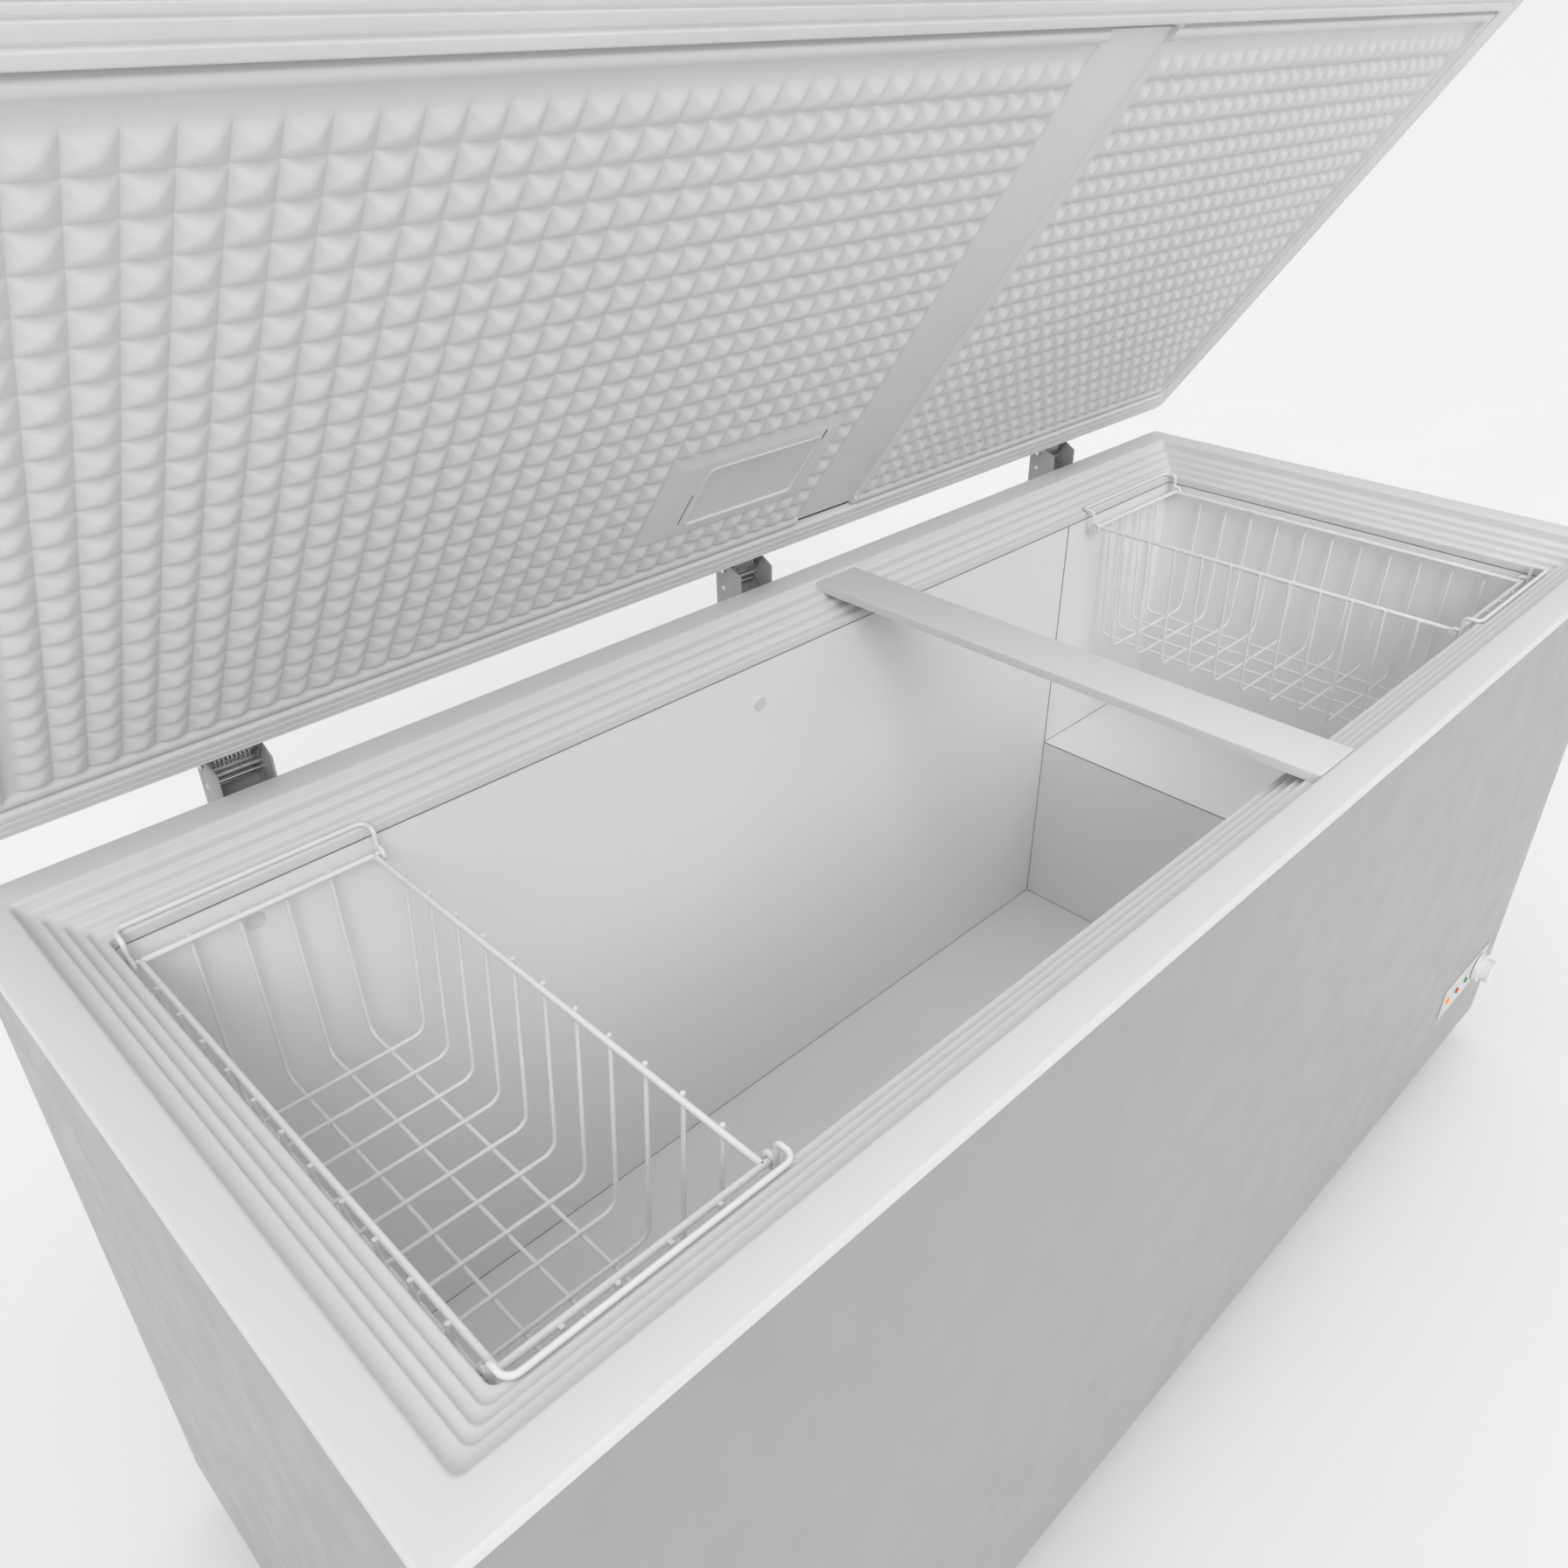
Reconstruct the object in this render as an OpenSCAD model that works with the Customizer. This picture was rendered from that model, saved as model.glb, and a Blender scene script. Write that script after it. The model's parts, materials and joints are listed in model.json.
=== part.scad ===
// Chest freezer with its lid open, standing on the floor at z = 0.
// X runs along the length, the front faces -Y, and Z is up.
// The origin is on the floor, under the middle of the whole object.

/* [Cabinet] */
// Length over the rim
cabinet_length = 1836; // [1400:4:2200]
// Depth over the rim, front to back
cabinet_depth = 740; // [640:2:900]
// Height of the rim above the floor
rim_height = 860; // [760:5:960]
// Gap between the floor and the base plate
floor_gap = 60; // [50:1:75]
// How far the rim stands out past the steel panels
rim_lip = 5; // [4:0.5:8]
// Thickness of the steel panels
sheet = 1; // [0.6:0.1:1.5]
// Radius of the two upright front corners
corner_radius = 12; // [6:1:25]
// How far the front panel folds round onto each end
corner_return = 32; // [30:1:60]

/* [Walls and liner] */
// Distance from the rim's outer edge to the inside of the liner
wall = 88; // [80:1:120]
// Insulation under the liner floor
floor_wall = 86; // [60:1:110]
// Thickness of the aluminium liner
liner_sheet = 1; // [0.6:0.1:1.5]
// Length of the step over the compressor, measured from the liner's right wall
step_length = 278; // [240:1:360]
// Depth from the rim down to the top of the step
step_depth = 415; // [360:5:480]
// Insulation between the step and the compressor bay
step_wall = 55; // [40:1:70]

/* [Rim] */
// Width of the rim's flat outer band
rim_flat = 38; // [30:1:44]
// Thickness of the rim moulding
rim_sheet = 3; // [2:0.5:4]
// Depth of the rim's outer edge
rim_edge = 10; // [8:1:16]
// Depth of the rim's inner lip below the flat band
rim_inner_depth = 46; // [42:1:60]
// Distance from the rim's corners to the seams in its two ends
rim_seam = 120; // [100:5:200]

/* [Crossbar] */
// Width of the crossbar
crossbar_width = 71; // [50:1:100]
// Distance of the crossbar's centre line to the right of the middle
crossbar_offset = 100; // [0:5:200]
// Depth of the crossbar's side flanges
crossbar_depth = 11; // [8:0.5:12]

/* [Lid] */
// Thickness of the lid from flange to top
lid_thickness = 50; // [40:1:70]
// Gap between the rim and the lid's flange when shut, filled by the gasket
lid_gap = 12; // [8:1:14]
// Angle of the lid above the shut position
lid_angle = 54.5; // [40:0.5:75]
// Distance from the lid's outer edge to its inner field
lid_border = 70; // [60:1:84]
// Thickness of the lid liner
lid_liner_sheet = 2; // [1:0.5:3]
// Left edge of the joint strip
strip_left = 36; // [20:1:60]
// Right edge of the joint strip
strip_right = 138; // [120:1:200]

/* [Gasket] */
// Distance from the lid's edge to the gasket
gasket_inset = 8; // [6:1:14]
// Width of the gasket
gasket_width = 38; // [25:1:44]

/* [Lid lamp] */
// Length of the lamp window
lamp_length = 157; // [120:1:180]
// Width of the lamp window
lamp_width = 86; // [60:1:110]
// Depth of the lamp recess
lamp_depth = 30; // [20:1:32]
// Flat frame around the lamp window
lamp_frame = 38; // [20:1:50]
// Distance from the window's right end to the middle of the lid
lamp_offset = 24; // [20:1:80]
// Distance from the lid's rear edge to the window
lamp_setback = 137; // [130:1:220]

/* [Hinges] */
// Distance between neighbouring hinges
hinge_spacing = 657; // [450:1:800]
// Width of a hinge bracket
hinge_width = 55; // [44:1:70]
// Thickness of the hinge plates
hinge_sheet = 2.5; // [2:0.5:4]
// Distance of the hinge pin behind the rim's back edge
hinge_back = 32; // [28:1:40]
// Height of the hinge pin above the rim
hinge_up = 21; // [18:1:26]
// Diameter of the hinge pin
hinge_pin_d = 8; // [6:0.5:10]
// Radial clearance of the moving leaf on its pin
pin_clearance = 0.05; // [0.02:0.01:0.1]
// Depth of the bracket below the rim
hinge_drop = 120; // [90:5:160]

/* [Baskets] */
// Length of a basket along the freezer
basket_length = 216; // [160:2:260]
// Height of a basket
basket_height = 185; // [120:5:220]
// Depth of the basket frame below the rim
basket_top = 55; // [50:1:70]
// Gap between the basket frame and the liner
basket_gap = 20; // [17:1:26]
// Gap between a basket and the liner's end wall
basket_end_gap = 14; // [8:1:30]
// Diameter of the frame wire
frame_wire = 6; // [4:0.5:7]
// Diameter of a basket handle's wire
handle_wire = 5; // [3:0.5:5]
// Diameter of the grid wire
grid_wire = 4.2; // [2.6:0.2:4.6]
// Distance from a basket's tapered ends to the first wire across it
wire_margin = 40; // [20:2:60]
// Number of wires across the basket
cross_wires = 11; // [7:1:15]
// Number of wires along the basket
long_wires = 4; // [3:1:6]

/* [Controls] */
// Distance from the rim's right end to the knob
knob_inset = 93; // [80:1:140]
// Height of the control row above the base plate
control_height = 135; // [110:1:180]
// Diameter of the knob
knob_d = 46; // [36:1:56]
// Height of the knob
knob_height = 22; // [14:1:28]
// Diameter of the thermostat shaft
shaft_d = 6; // [5:0.5:8]
// Distance between indicator lamps
lamp_pitch = 34; // [24:1:36]
// Diameter of an indicator lamp
indicator_d = 9; // [7:0.5:11]

/* [Compressor] */
// Diameter of the compressor shell
compressor_d = 168; // [140:1:180]
// Height of the compressor shell
compressor_height = 180; // [140:5:190]
// Diameter of the mounting bolts
mount_bolt_d = 8; // [6:1:10]

/* [Drain] */
// Bore of the drain tube
drain_bore = 18; // [14:1:24]
// Wall of the drain tube
drain_wall = 2; // [1.5:0.5:3]
// Distance from the liner's left wall to the drain
drain_inset = 120; // [80:5:240]

/* [Supports] */
// Diameter of a roller wheel
wheel_d = 50; // [40:1:56]
// Width of a roller wheel
wheel_width = 22; // [16:1:30]
// Diameter of a roller axle
axle_d = 8; // [6:0.5:10]
// Distance from the cabinet's end to the supports
support_inset = 90; // [70:5:160]
// Diameter of a levelling foot's pad
foot_d = 42; // [32:1:60]

/* [Hidden] */
$fn = 48;

half_l = cabinet_length / 2;
half_d = cabinet_depth / 2;
end_x = half_l - rim_lip;
face_y = half_d - rim_lip;
panel_top = rim_height - rim_sheet;
hair = 0.3;

// Risers of the rim: distance in from the outer edge, and depth of the tread before each one
ledge_drop = rim_inner_depth - 11;
rim_in = [for (share = [0, 0.31, 0.53, 0.76]) rim_flat + share * (wall - rim_flat)];
rim_drop = [for (share = [0, 0.37, 0.57, 0.80, 1]) share * ledge_drop];

seam_y = half_d - rim_seam;

// Liner
liner_x = half_l - wall;
liner_y = half_d - wall;
liner_floor = floor_gap + sheet + floor_wall;
liner_top = rim_height - rim_inner_depth - 0.5;
step_x = liner_x - step_length;
step_z = rim_height - step_depth;
bay_x = step_x + step_wall;
bay_top = step_z - step_wall;

// Hinge axis and the middle of the whole object
axis_y = half_d + hinge_back;
axis_z = rim_height + hinge_up;
bracket_round = 13;
leaf_round = 11;
lid_reach = [-hinge_back, lid_gap + lid_thickness - hinge_up];
lid_back = axis_y + lid_reach[0] * cos(lid_angle) + lid_reach[1] * sin(lid_angle);
knob_standoff = 1;
plate_thick = 1.6;
knob_front = -face_y - plate_thick - knob_standoff - knob_height;
middle_y = (max(lid_back, axis_y + bracket_round) + knob_front) / 2;
hinge_xs = [-hinge_spacing, 0, hinge_spacing];

// Controls
knob_x = half_l - knob_inset;
control_z = floor_gap + control_height;
indicator_xs = [for (i = [1:3]) knob_x - 12 - i * lamp_pitch];

// Cord gland
gland_x = end_x - 120;
gland_z = floor_gap + 50;
gland_r = 9;
gland_bore_r = 4;

// Compressor
compressor_x = bay_x + 30 + compressor_d / 2;
compressor_y = 60;
grommet_h = 18;
grommet_d = 26;
foot_plate = 3;
mount_span = compressor_d - 20;
feet_z = floor_gap + sheet + grommet_h;
shell_z = feet_z + foot_plate;
mount_points = [
    for (x = [-1, 1], y = [-1, 1])
        [compressor_x + x * mount_span / 2, compressor_y + y * mount_span / 2]
];

// Grille in the right end panel
grille_w = 300;
grille_h = 200;
grille_y = 60;
grille_z = floor_gap + 150;
grille_band = 12;
grille_screw_r = 1.8;
grille_corners = [
    for (y = [-1, 1], z = [-1, 1])
        [grille_y + y * (grille_w - grille_band) / 2, grille_z + z * (grille_h - grille_band) / 2]
];

// Drain
drain_x = -liner_x + drain_inset;
drain_y = -liner_y + 70;
drain_z = floor_gap + 34;
drain_r = drain_bore / 2 + drain_wall;

// Supports
support_x = end_x - support_inset;
support_y = face_y - 70;
fork_sheet = 3;
fork_gap = wheel_width / 2 + 1;

// Lid, in the shut position
lid_low = rim_height + lid_gap;
lid_high = lid_low + lid_thickness;
window_x = -lamp_offset - lamp_length;
window_y = half_d - lamp_setback - lamp_width;
handle_length = 220;
handle_gap = 24;
handle_bar = 12;
handle_low = lid_low + 8;
handle_high = lid_low + 30;

// Baskets
basket_y = liner_y - basket_gap;
basket_taper = 6;
stub = 11;
basket_left_x = -liner_x + basket_end_gap;
basket_right_x = liner_x - basket_end_gap - basket_length;

module in_frame() {
    translate([0, -middle_y, 0]) children();
}

// Moves a piece of the shut lid to the open position.
module on_lid() {
    in_frame()
        translate([0, axis_y, axis_z])
            rotate([-lid_angle, 0, 0])
                translate([0, -axis_y, -axis_z])
                    children();
}

// A block given by its two opposite corners.
module block(low, high) {
    translate(low) cube(high - low);
}

// A block centred on the cabinet, inset from the rim's outer edge.
module inset_block(inset, z0, z1) {
    block([-half_l + inset, -half_d + inset, z0], [half_l - inset, half_d - inset, z1]);
}

// A straight round bar between two points.
module bar(p, q, r, sides = 0) {
    v = q - p;
    length = norm(v);
    translate(p)
        rotate([0, acos(v[2] / length), atan2(v[1], v[0])])
            cylinder(r = r, h = length, $fn = sides > 0 ? sides : $fn);
}

// A round bar along Y, starting at y0.
module bar_y(x, y0, y1, z, r) {
    translate([x, y1, z]) rotate([90, 0, 0]) cylinder(r = r, h = y1 - y0);
}

// A round bar along X, starting at x0.
module bar_x(x0, x1, y, z, r) {
    translate([x0, y, z]) rotate([0, 90, 0]) cylinder(r = r, h = x1 - x0);
}

// The cabinet's outline, inset from the steel skin, with round front corners.
module cabinet_block(inset, z0, z1) {
    r = corner_radius - inset;
    x = end_x - inset;
    y = face_y - inset;
    block([-x + r, -y, z0], [x - r, y, z1]);
    block([-x, -y + r, z0], [x, y, z1]);
    for (side = [-1, 1]) translate([side * (x - r), -y + r, z0]) cylinder(r = r, h = z1 - z0);
}

// Holes that pass through the front skin.
module front_holes() {
    y0 = -face_y - 1;
    y1 = -face_y + sheet + 1;
    bar_y(knob_x, y0, y1, control_z, shaft_d / 2 + 1);
    for (x = indicator_xs) bar_y(x, y0, y1, control_z, indicator_d / 2);
    bar_y(drain_x, y0, y1, drain_z, drain_r);
}

module front_panel() color("gainsboro") in_frame() difference() {
    cabinet_block(0, floor_gap, panel_top);
    cabinet_block(sheet, floor_gap - 1, panel_top + 1);
    block([-half_l, -face_y + corner_return, floor_gap - 1], [half_l, half_d, panel_top + 1]);
    front_holes();
}

module end_panel(side) {
    x = side * (end_x - sheet / 2);
    block([x - sheet / 2, -face_y + corner_return, floor_gap], [x + sheet / 2, face_y, panel_top]);
}

module left_end_panel() color("gainsboro") in_frame() end_panel(-1);

module right_end_panel() color("gainsboro") in_frame() difference() {
    end_panel(1);
    block(
        [end_x - 5, grille_y - grille_w / 2 + grille_band, grille_z - grille_h / 2 + grille_band],
        [end_x + 5, grille_y + grille_w / 2 - grille_band, grille_z + grille_h / 2 - grille_band]);
    for (p = grille_corners) bar_x(end_x - 5, end_x + 5, p[0], p[1], grille_screw_r);
}

module back_panel() color("silver") in_frame() difference() {
    block([-end_x + sheet, face_y - sheet, floor_gap], [end_x - sheet, face_y, panel_top]);
    bar_y(gland_x, face_y - 5, face_y + 5, gland_z, gland_r);
}

module base_plate() color("darkgray") in_frame() difference() {
    intersection() {
        cabinet_block(sheet, floor_gap, floor_gap + sheet);
        block([-half_l, -half_d, floor_gap - 1], [half_l, face_y - sheet, floor_gap + 2]);
    }
    for (p = mount_points) translate([p[0], p[1], floor_gap - 1]) cylinder(d = mount_bolt_d, h = sheet + 2);
}

// The liner's hollow, grown outwards by a margin.
module liner_hollow(margin, top) {
    difference() {
        inset_block(wall - margin, liner_floor - margin, top);
        block(
            [step_x + margin, -half_d, 0],
            [half_l, half_d, step_z - margin]);
    }
}

// Everything above the underside of the rim moulding.
module rim_hollow() {
    for (i = [0:len(rim_in) - 1])
        inset_block(rim_in[i] - rim_sheet, rim_height - rim_drop[i + 1] - rim_sheet, rim_height + 1);
    inset_block(wall - rim_sheet, rim_height - rim_inner_depth, rim_height + 1);
}

module cabinet_foam() color("khaki") in_frame() difference() {
    cabinet_block(sheet, floor_gap + sheet, panel_top);
    block([-half_l, face_y - sheet, 0], [half_l, half_d, rim_height]);
    rim_hollow();
    liner_hollow(liner_sheet, rim_height - rim_inner_depth + 1);
    block([bay_x - sheet, -half_d, 0], [half_l, half_d, bay_top + sheet]);
    drain_path(drain_r + hair, 2);
}

module bay_panel() color("silver") in_frame() difference() {
    cabinet_block(sheet, floor_gap + sheet, bay_top + sheet);
    block([-half_l, -half_d, 0], [bay_x - sheet, half_d, rim_height]);
    block([-half_l, face_y - sheet, 0], [half_l, half_d, rim_height]);
    block([bay_x, -half_d, 0], [half_l, half_d, bay_top]);
}

module inner_liner() color("lightgray") in_frame() difference() {
    liner_hollow(liner_sheet, liner_top);
    liner_hollow(0, liner_top + 1);
    translate([drain_x, drain_y, liner_floor - 5]) cylinder(d = drain_bore, h = 10);
}

// Caps on the liner's rear wall, each given as [x, depth below the rim].
plug_spots = [[-83, 99], [117 - liner_x, 78]];

module liner_plugs() color("whitesmoke") in_frame()
    for (p = plug_spots) bar_y(p[0], liner_y - 3, liner_y, rim_height - p[1], 8);

// One straight run of the rim along the front, with mitred ends.
module rim_run(length, depth) {
    tops = [
        for (i = [0:len(rim_in) - 1]) each [[rim_in[i], -rim_drop[i]], [rim_in[i], -rim_drop[i + 1]]]
    ];
    unders = [for (i = [len(tops) - 1:-1:0]) tops[i] - [rim_sheet, rim_sheet]];
    inner_lip = [
        [wall, -ledge_drop], [wall, -rim_inner_depth],
        [wall - rim_sheet, -rim_inner_depth], [wall - rim_sheet, -ledge_drop - rim_sheet]
    ];
    profile = concat(
        [[0, -rim_edge], [0, 0]], tops, inner_lip, unders, [[rim_sheet, -rim_sheet], [rim_sheet, -rim_edge]]);
    x = length / 2;
    y = depth / 2;
    reach = wall + 1;
    intersection() {
        translate([-x, -y, rim_height]) rotate([90, 0, 90]) linear_extrude(length) polygon(profile);
        translate([0, 0, rim_height - rim_inner_depth - 1])
            linear_extrude(rim_inner_depth + 2)
                polygon([[-x, -y], [x, -y], [x - reach, reach - y], [reach - x, reach - y]]);
    }
}

// The whole rim, before it is cut into its four mouldings.
module rim_ring() {
    for (turn = [0, 180]) {
        rotate([0, 0, turn]) rim_run(cabinet_length, cabinet_depth);
        rotate([0, 0, turn + 90]) rim_run(cabinet_depth, cabinet_length);
    }
}

// The front and back mouldings turn both corners and butt against the straight end mouldings.
module rim_long(side) intersection() {
    rim_ring();
    block(
        [-half_l - 1, side > 0 ? seam_y : -half_d - 1, 0],
        [half_l + 1, side > 0 ? half_d + 1 : -seam_y, 2 * rim_height]);
}

module rim_short(side) intersection() {
    rim_ring();
    block(
        [side > 0 ? 0 : -half_l - 1, -seam_y, 0],
        [side > 0 ? half_l + 1 : 0, seam_y, 2 * rim_height]);
}

module rim_front() color("whitesmoke") in_frame() rim_long(-1);

module rim_back() color("whitesmoke") in_frame() rim_long(1);

module rim_left() color("whitesmoke") in_frame() rim_short(-1);

module rim_right() color("whitesmoke") in_frame() rim_short(1);

// A channel, open below, whose ends rest on the rim's first tread.
module crossbar() color("white") in_frame() {
    x0 = crossbar_offset - crossbar_width / 2;
    x1 = crossbar_offset + crossbar_width / 2;
    y = half_d - rim_flat - 1;
    z0 = rim_height - rim_drop[1];
    z1 = z0 + crossbar_depth;
    difference() {
        block([x0, -y, z0], [x1, y, z1]);
        block([x0 + 2, -y - 1, z0 - 1], [x1 - 2, y + 1, z1 - 2]);
    }
}

// A closed tube loop with round corners, centred on the cabinet.
module tube_loop(x, y, z, r, bend) {
    for (side = [-1, 1]) {
        bar_x(bend - x, x - bend, side * y, z, r);
        bar_y(side * x, bend - y, y - bend, z, r);
    }
    for (turn = [0:3]) {
        corner_x = turn == 0 || turn == 3 ? x - bend : bend - x;
        corner_y = turn < 2 ? y - bend : bend - y;
        translate([corner_x, corner_y, z])
            rotate([0, 0, turn * 90])
                rotate_extrude(angle = 90) translate([bend, 0]) circle(r = r);
    }
}

coil_r = 4;
coil_bend = 24;
evaporator_bend = 10;

// Distance from the liner to the evaporator's centreline that lets its bends clear the corners
evaporator_out = evaporator_bend - (evaporator_bend - coil_r - hair) / sqrt(2);

// Loops of tube against the outside of the liner, joined by an upright header.
module evaporator_coil() color("peru") in_frame() {
    x = liner_x + liner_sheet + evaporator_out;
    y = liner_y + liner_sheet + evaporator_out;
    top = liner_top - 50;
    pitch = (top - step_z - 30) / 5;
    for (i = [0:5]) tube_loop(x, y, top - i * pitch, coil_r, evaporator_bend);
    bar([x, 0, top - 5 * pitch], [x, 0, top], coil_r - 0.5);
    bar([x, 0, bay_top - 20], [x, 0, top - 5 * pitch], coil_r - 0.5);
}

// Loops of tube against the inside of the steel panels, joined by an upright header.
module condenser_coil() color("dimgray") in_frame() {
    x = end_x - sheet - coil_r - hair;
    y = face_y - sheet - coil_r - hair;
    top = panel_top - 90;
    pitch = (top - bay_top - 30) / 4;
    for (i = [0:4]) tube_loop(x, y, top - i * pitch, coil_r, coil_bend);
    bar([x, 0, bay_top - 20], [x, 0, top], coil_r - 0.5);
}

module compressor() color("#222222") in_frame() translate([compressor_x, compressor_y, shell_z]) {
    r = compressor_d / 2;
    dome = 36;
    low = [for (a = [30:10:90]) [r * sin(a), dome * (1 - cos(a)) - dome * (1 - cos(30))]];
    high = [for (a = [90:-10:0]) [r * sin(a), compressor_height - dome * (1 - cos(a))]];
    rotate_extrude() polygon(concat([[0, 0]], low, high));
    translate([0, 0, compressor_height * 0.48]) cylinder(r = r + 5, h = 8);
}

module compressor_feet() color("#303030") in_frame() difference() {
    m = mount_span / 2 + 16;
    translate([compressor_x, compressor_y, feet_z]) block([-m, -m, 0], [m, m, foot_plate]);
    for (p = mount_points) translate([p[0], p[1], feet_z - 1]) cylinder(d = mount_bolt_d, h = foot_plate + 2);
}

module compressor_grommets() color("#181818") in_frame() for (p = mount_points)
    translate([p[0], p[1], floor_gap + sheet]) difference() {
        cylinder(d = grommet_d, h = grommet_h);
        translate([0, 0, -1]) cylinder(d = mount_bolt_d, h = grommet_h + 2);
    }

module compressor_bolts() color("silver") in_frame() for (p = mount_points) translate([p[0], p[1], 0]) {
    translate([0, 0, floor_gap - 5]) cylinder(d = mount_bolt_d * 1.7, h = 5, $fn = 6);
    translate([0, 0, floor_gap - 5]) cylinder(d = mount_bolt_d, h = shell_z - floor_gap + 10);
    translate([0, 0, shell_z]) cylinder(d = mount_bolt_d * 1.7, h = 5, $fn = 6);
}

module relay_cover() color("#404040") in_frame() difference() {
    front = compressor_y - compressor_d / 2 - 34;
    block([compressor_x - 32, front, shell_z + 20], [compressor_x + 32, compressor_y, shell_z + 84]);
    translate([compressor_x, compressor_y, shell_z]) cylinder(d = compressor_d + 11, h = compressor_height);
}

drier = [bay_x + 60, -210, floor_gap + 130];

module filter_drier() color("chocolate") in_frame() translate(drier) {
    cylinder(r = 10, h = 90);
    translate([0, 0, -14]) cylinder(r1 = 4, r2 = 10, h = 14);
    translate([0, 0, 90]) cylinder(r1 = 10, r2 = 4, h = 14);
}

// A tube along straight runs, with a ball at every turn.
module pipe(route, r) {
    for (i = [1:len(route) - 1]) bar(route[i - 1], route[i], r);
    for (i = [1:len(route) - 2]) translate(route[i]) sphere(r = r + 0.4);
}

module refrigerant_pipes() color("chocolate") in_frame() {
    head = shell_z + compressor_height * 0.7;
    out_x = compressor_x - compressor_d / 2 + 8;
    pipe([[out_x, compressor_y - 20, head], [bay_x + 22, compressor_y - 20, head],
          [bay_x + 22, compressor_y - 20, bay_top + 12]], 4);
    pipe([[out_x, compressor_y + 20, head], [bay_x + 34, compressor_y + 20, head],
          [bay_x + 34, compressor_y + 20, bay_top - 30], [bay_x + 34, drier[1], bay_top - 30],
          [drier[0], drier[1], bay_top - 30], [drier[0], drier[1], drier[2] + 100]], 3);
    pipe([[drier[0], drier[1], drier[2] - 10], [drier[0], drier[1], drier[2] - 40],
          [drier[0] + 60, drier[1], drier[2] - 40], [drier[0] + 60, drier[1], bay_top + 12]], 2);
}

grille_sheet = 2;

// A flat frame over the opening, with tilted slats across it.
module side_grille() color("dimgray") in_frame() {
    y = grille_w / 2;
    z = grille_h / 2;
    inner = grille_band + 2;
    slats = 11;
    pitch = (grille_h - 2 * inner) / slats;
    translate([end_x, grille_y, grille_z]) difference() {
        block([0, -y, -z], [grille_sheet, y, z]);
        block([-1, inner - y, inner - z], [grille_sheet + 1, y - inner, z - inner]);
        for (sy = [-1, 1], sz = [-1, 1])
            bar_x(-1, grille_sheet + 1, sy * (y - grille_band / 2), sz * (z - grille_band / 2), grille_screw_r);
    }
    for (i = [0:slats - 1])
        translate([end_x + 1, grille_y, grille_z - z + inner + (i + 0.5) * pitch])
            rotate([0, 30, 0])
                block([-8, grille_band + 1 - y, -0.8], [1, y - grille_band - 1, 0.8]);
}

module grille_screws() color("silver") in_frame() for (p = grille_corners) {
    bar_x(end_x - 4, end_x + grille_sheet + 0.5, p[0], p[1], grille_screw_r);
    bar_x(end_x + grille_sheet, end_x + grille_sheet + 1, p[0], p[1], grille_screw_r * 2);
}

module control_plate() color("lightgray") in_frame() difference() {
    x0 = indicator_xs[2] - 20;
    x1 = knob_x + knob_d / 2 + 10;
    block([x0, -face_y - plate_thick, control_z - 28], [x1, -face_y, control_z + 28]);
    bar_y(knob_x, -half_d - 5, -face_y + 1, control_z, shaft_d / 2 + 1);
    for (x = indicator_xs) bar_y(x, -half_d - 5, -face_y + 1, control_z, indicator_d / 2);
}

module thermostat_body() color("white") in_frame() {
    inside = sheet - face_y;
    block([knob_x - 20, inside, control_z - 16], [knob_x + 20, inside + 28, control_z + 16]);
    bar_y(knob_x, knob_front + 5, inside + 2, control_z, shaft_d / 2);
}

module thermostat_knob() color("white") in_frame() difference() {
    union() {
        bar_y(knob_x, knob_front + knob_height - 8, knob_front + knob_height, control_z, knob_d / 2);
        bar_y(knob_x, knob_front, knob_front + knob_height - 7, control_z, knob_d * 0.4);
    }
    bar_y(knob_x, knob_front + 5, -face_y, control_z, shaft_d / 2 + pin_clearance);
    block([knob_x - 1, knob_front - 1, control_z + 4], [knob_x + 1, knob_front + 1.2, control_z + knob_d]);
}

module indicator(number) in_frame() {
    x = indicator_xs[number];
    inside = sheet - face_y;
    bar_y(x, -face_y - plate_thick - 2.5, inside + 1, control_z, indicator_d / 2);
    bar_y(x, inside, inside + 14, control_z, indicator_d / 2 + 2);
}

module green_lamp() color("limegreen") indicator(0);

module red_lamp() color("red") indicator(1);

module orange_lamp() color("darkorange") indicator(2);

module cord_gland() color("#202020") in_frame() difference() {
    union() {
        bar_y(gland_x, face_y - sheet - 4, face_y + 5, gland_z, gland_r);
        bar_y(gland_x, face_y, face_y + 3, gland_z, gland_r + 4);
        bar_y(gland_x, face_y - sheet - 4, face_y - sheet, gland_z, gland_r + 3);
    }
    bar_y(gland_x, face_y - 20, face_y + 20, gland_z, gland_bore_r);
}

drain_bend = 26;
drain_out = 12;

// The drain's path as a solid of radius r, from the liner floor to the front.
module drain_path(r, spare) {
    translate([drain_x, drain_y, drain_z + drain_bend])
        cylinder(r = r, h = liner_floor - liner_sheet - drain_z - drain_bend + spare);
    bar_y(drain_x, -face_y - drain_out - spare, drain_y - drain_bend, drain_z, r);
    translate([drain_x, drain_y - drain_bend, drain_z + drain_bend])
        rotate([0, 90, 0]) rotate_extrude(angle = 90) translate([drain_bend, 0]) circle(r = r);
}

module drain_tube() color("white") in_frame() difference() {
    drain_path(drain_r, 0);
    drain_path(drain_bore / 2, 1);
}

module drain_plug() color("white") in_frame() translate([drain_x, drain_y, liner_floor]) {
    translate([0, 0, -9]) cylinder(r = drain_bore / 2 - 0.2, h = 10);
    cylinder(r = drain_bore / 2 + 6, h = 4);
    block([-10, -1.5, 3], [10, 1.5, 16]);
}

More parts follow.
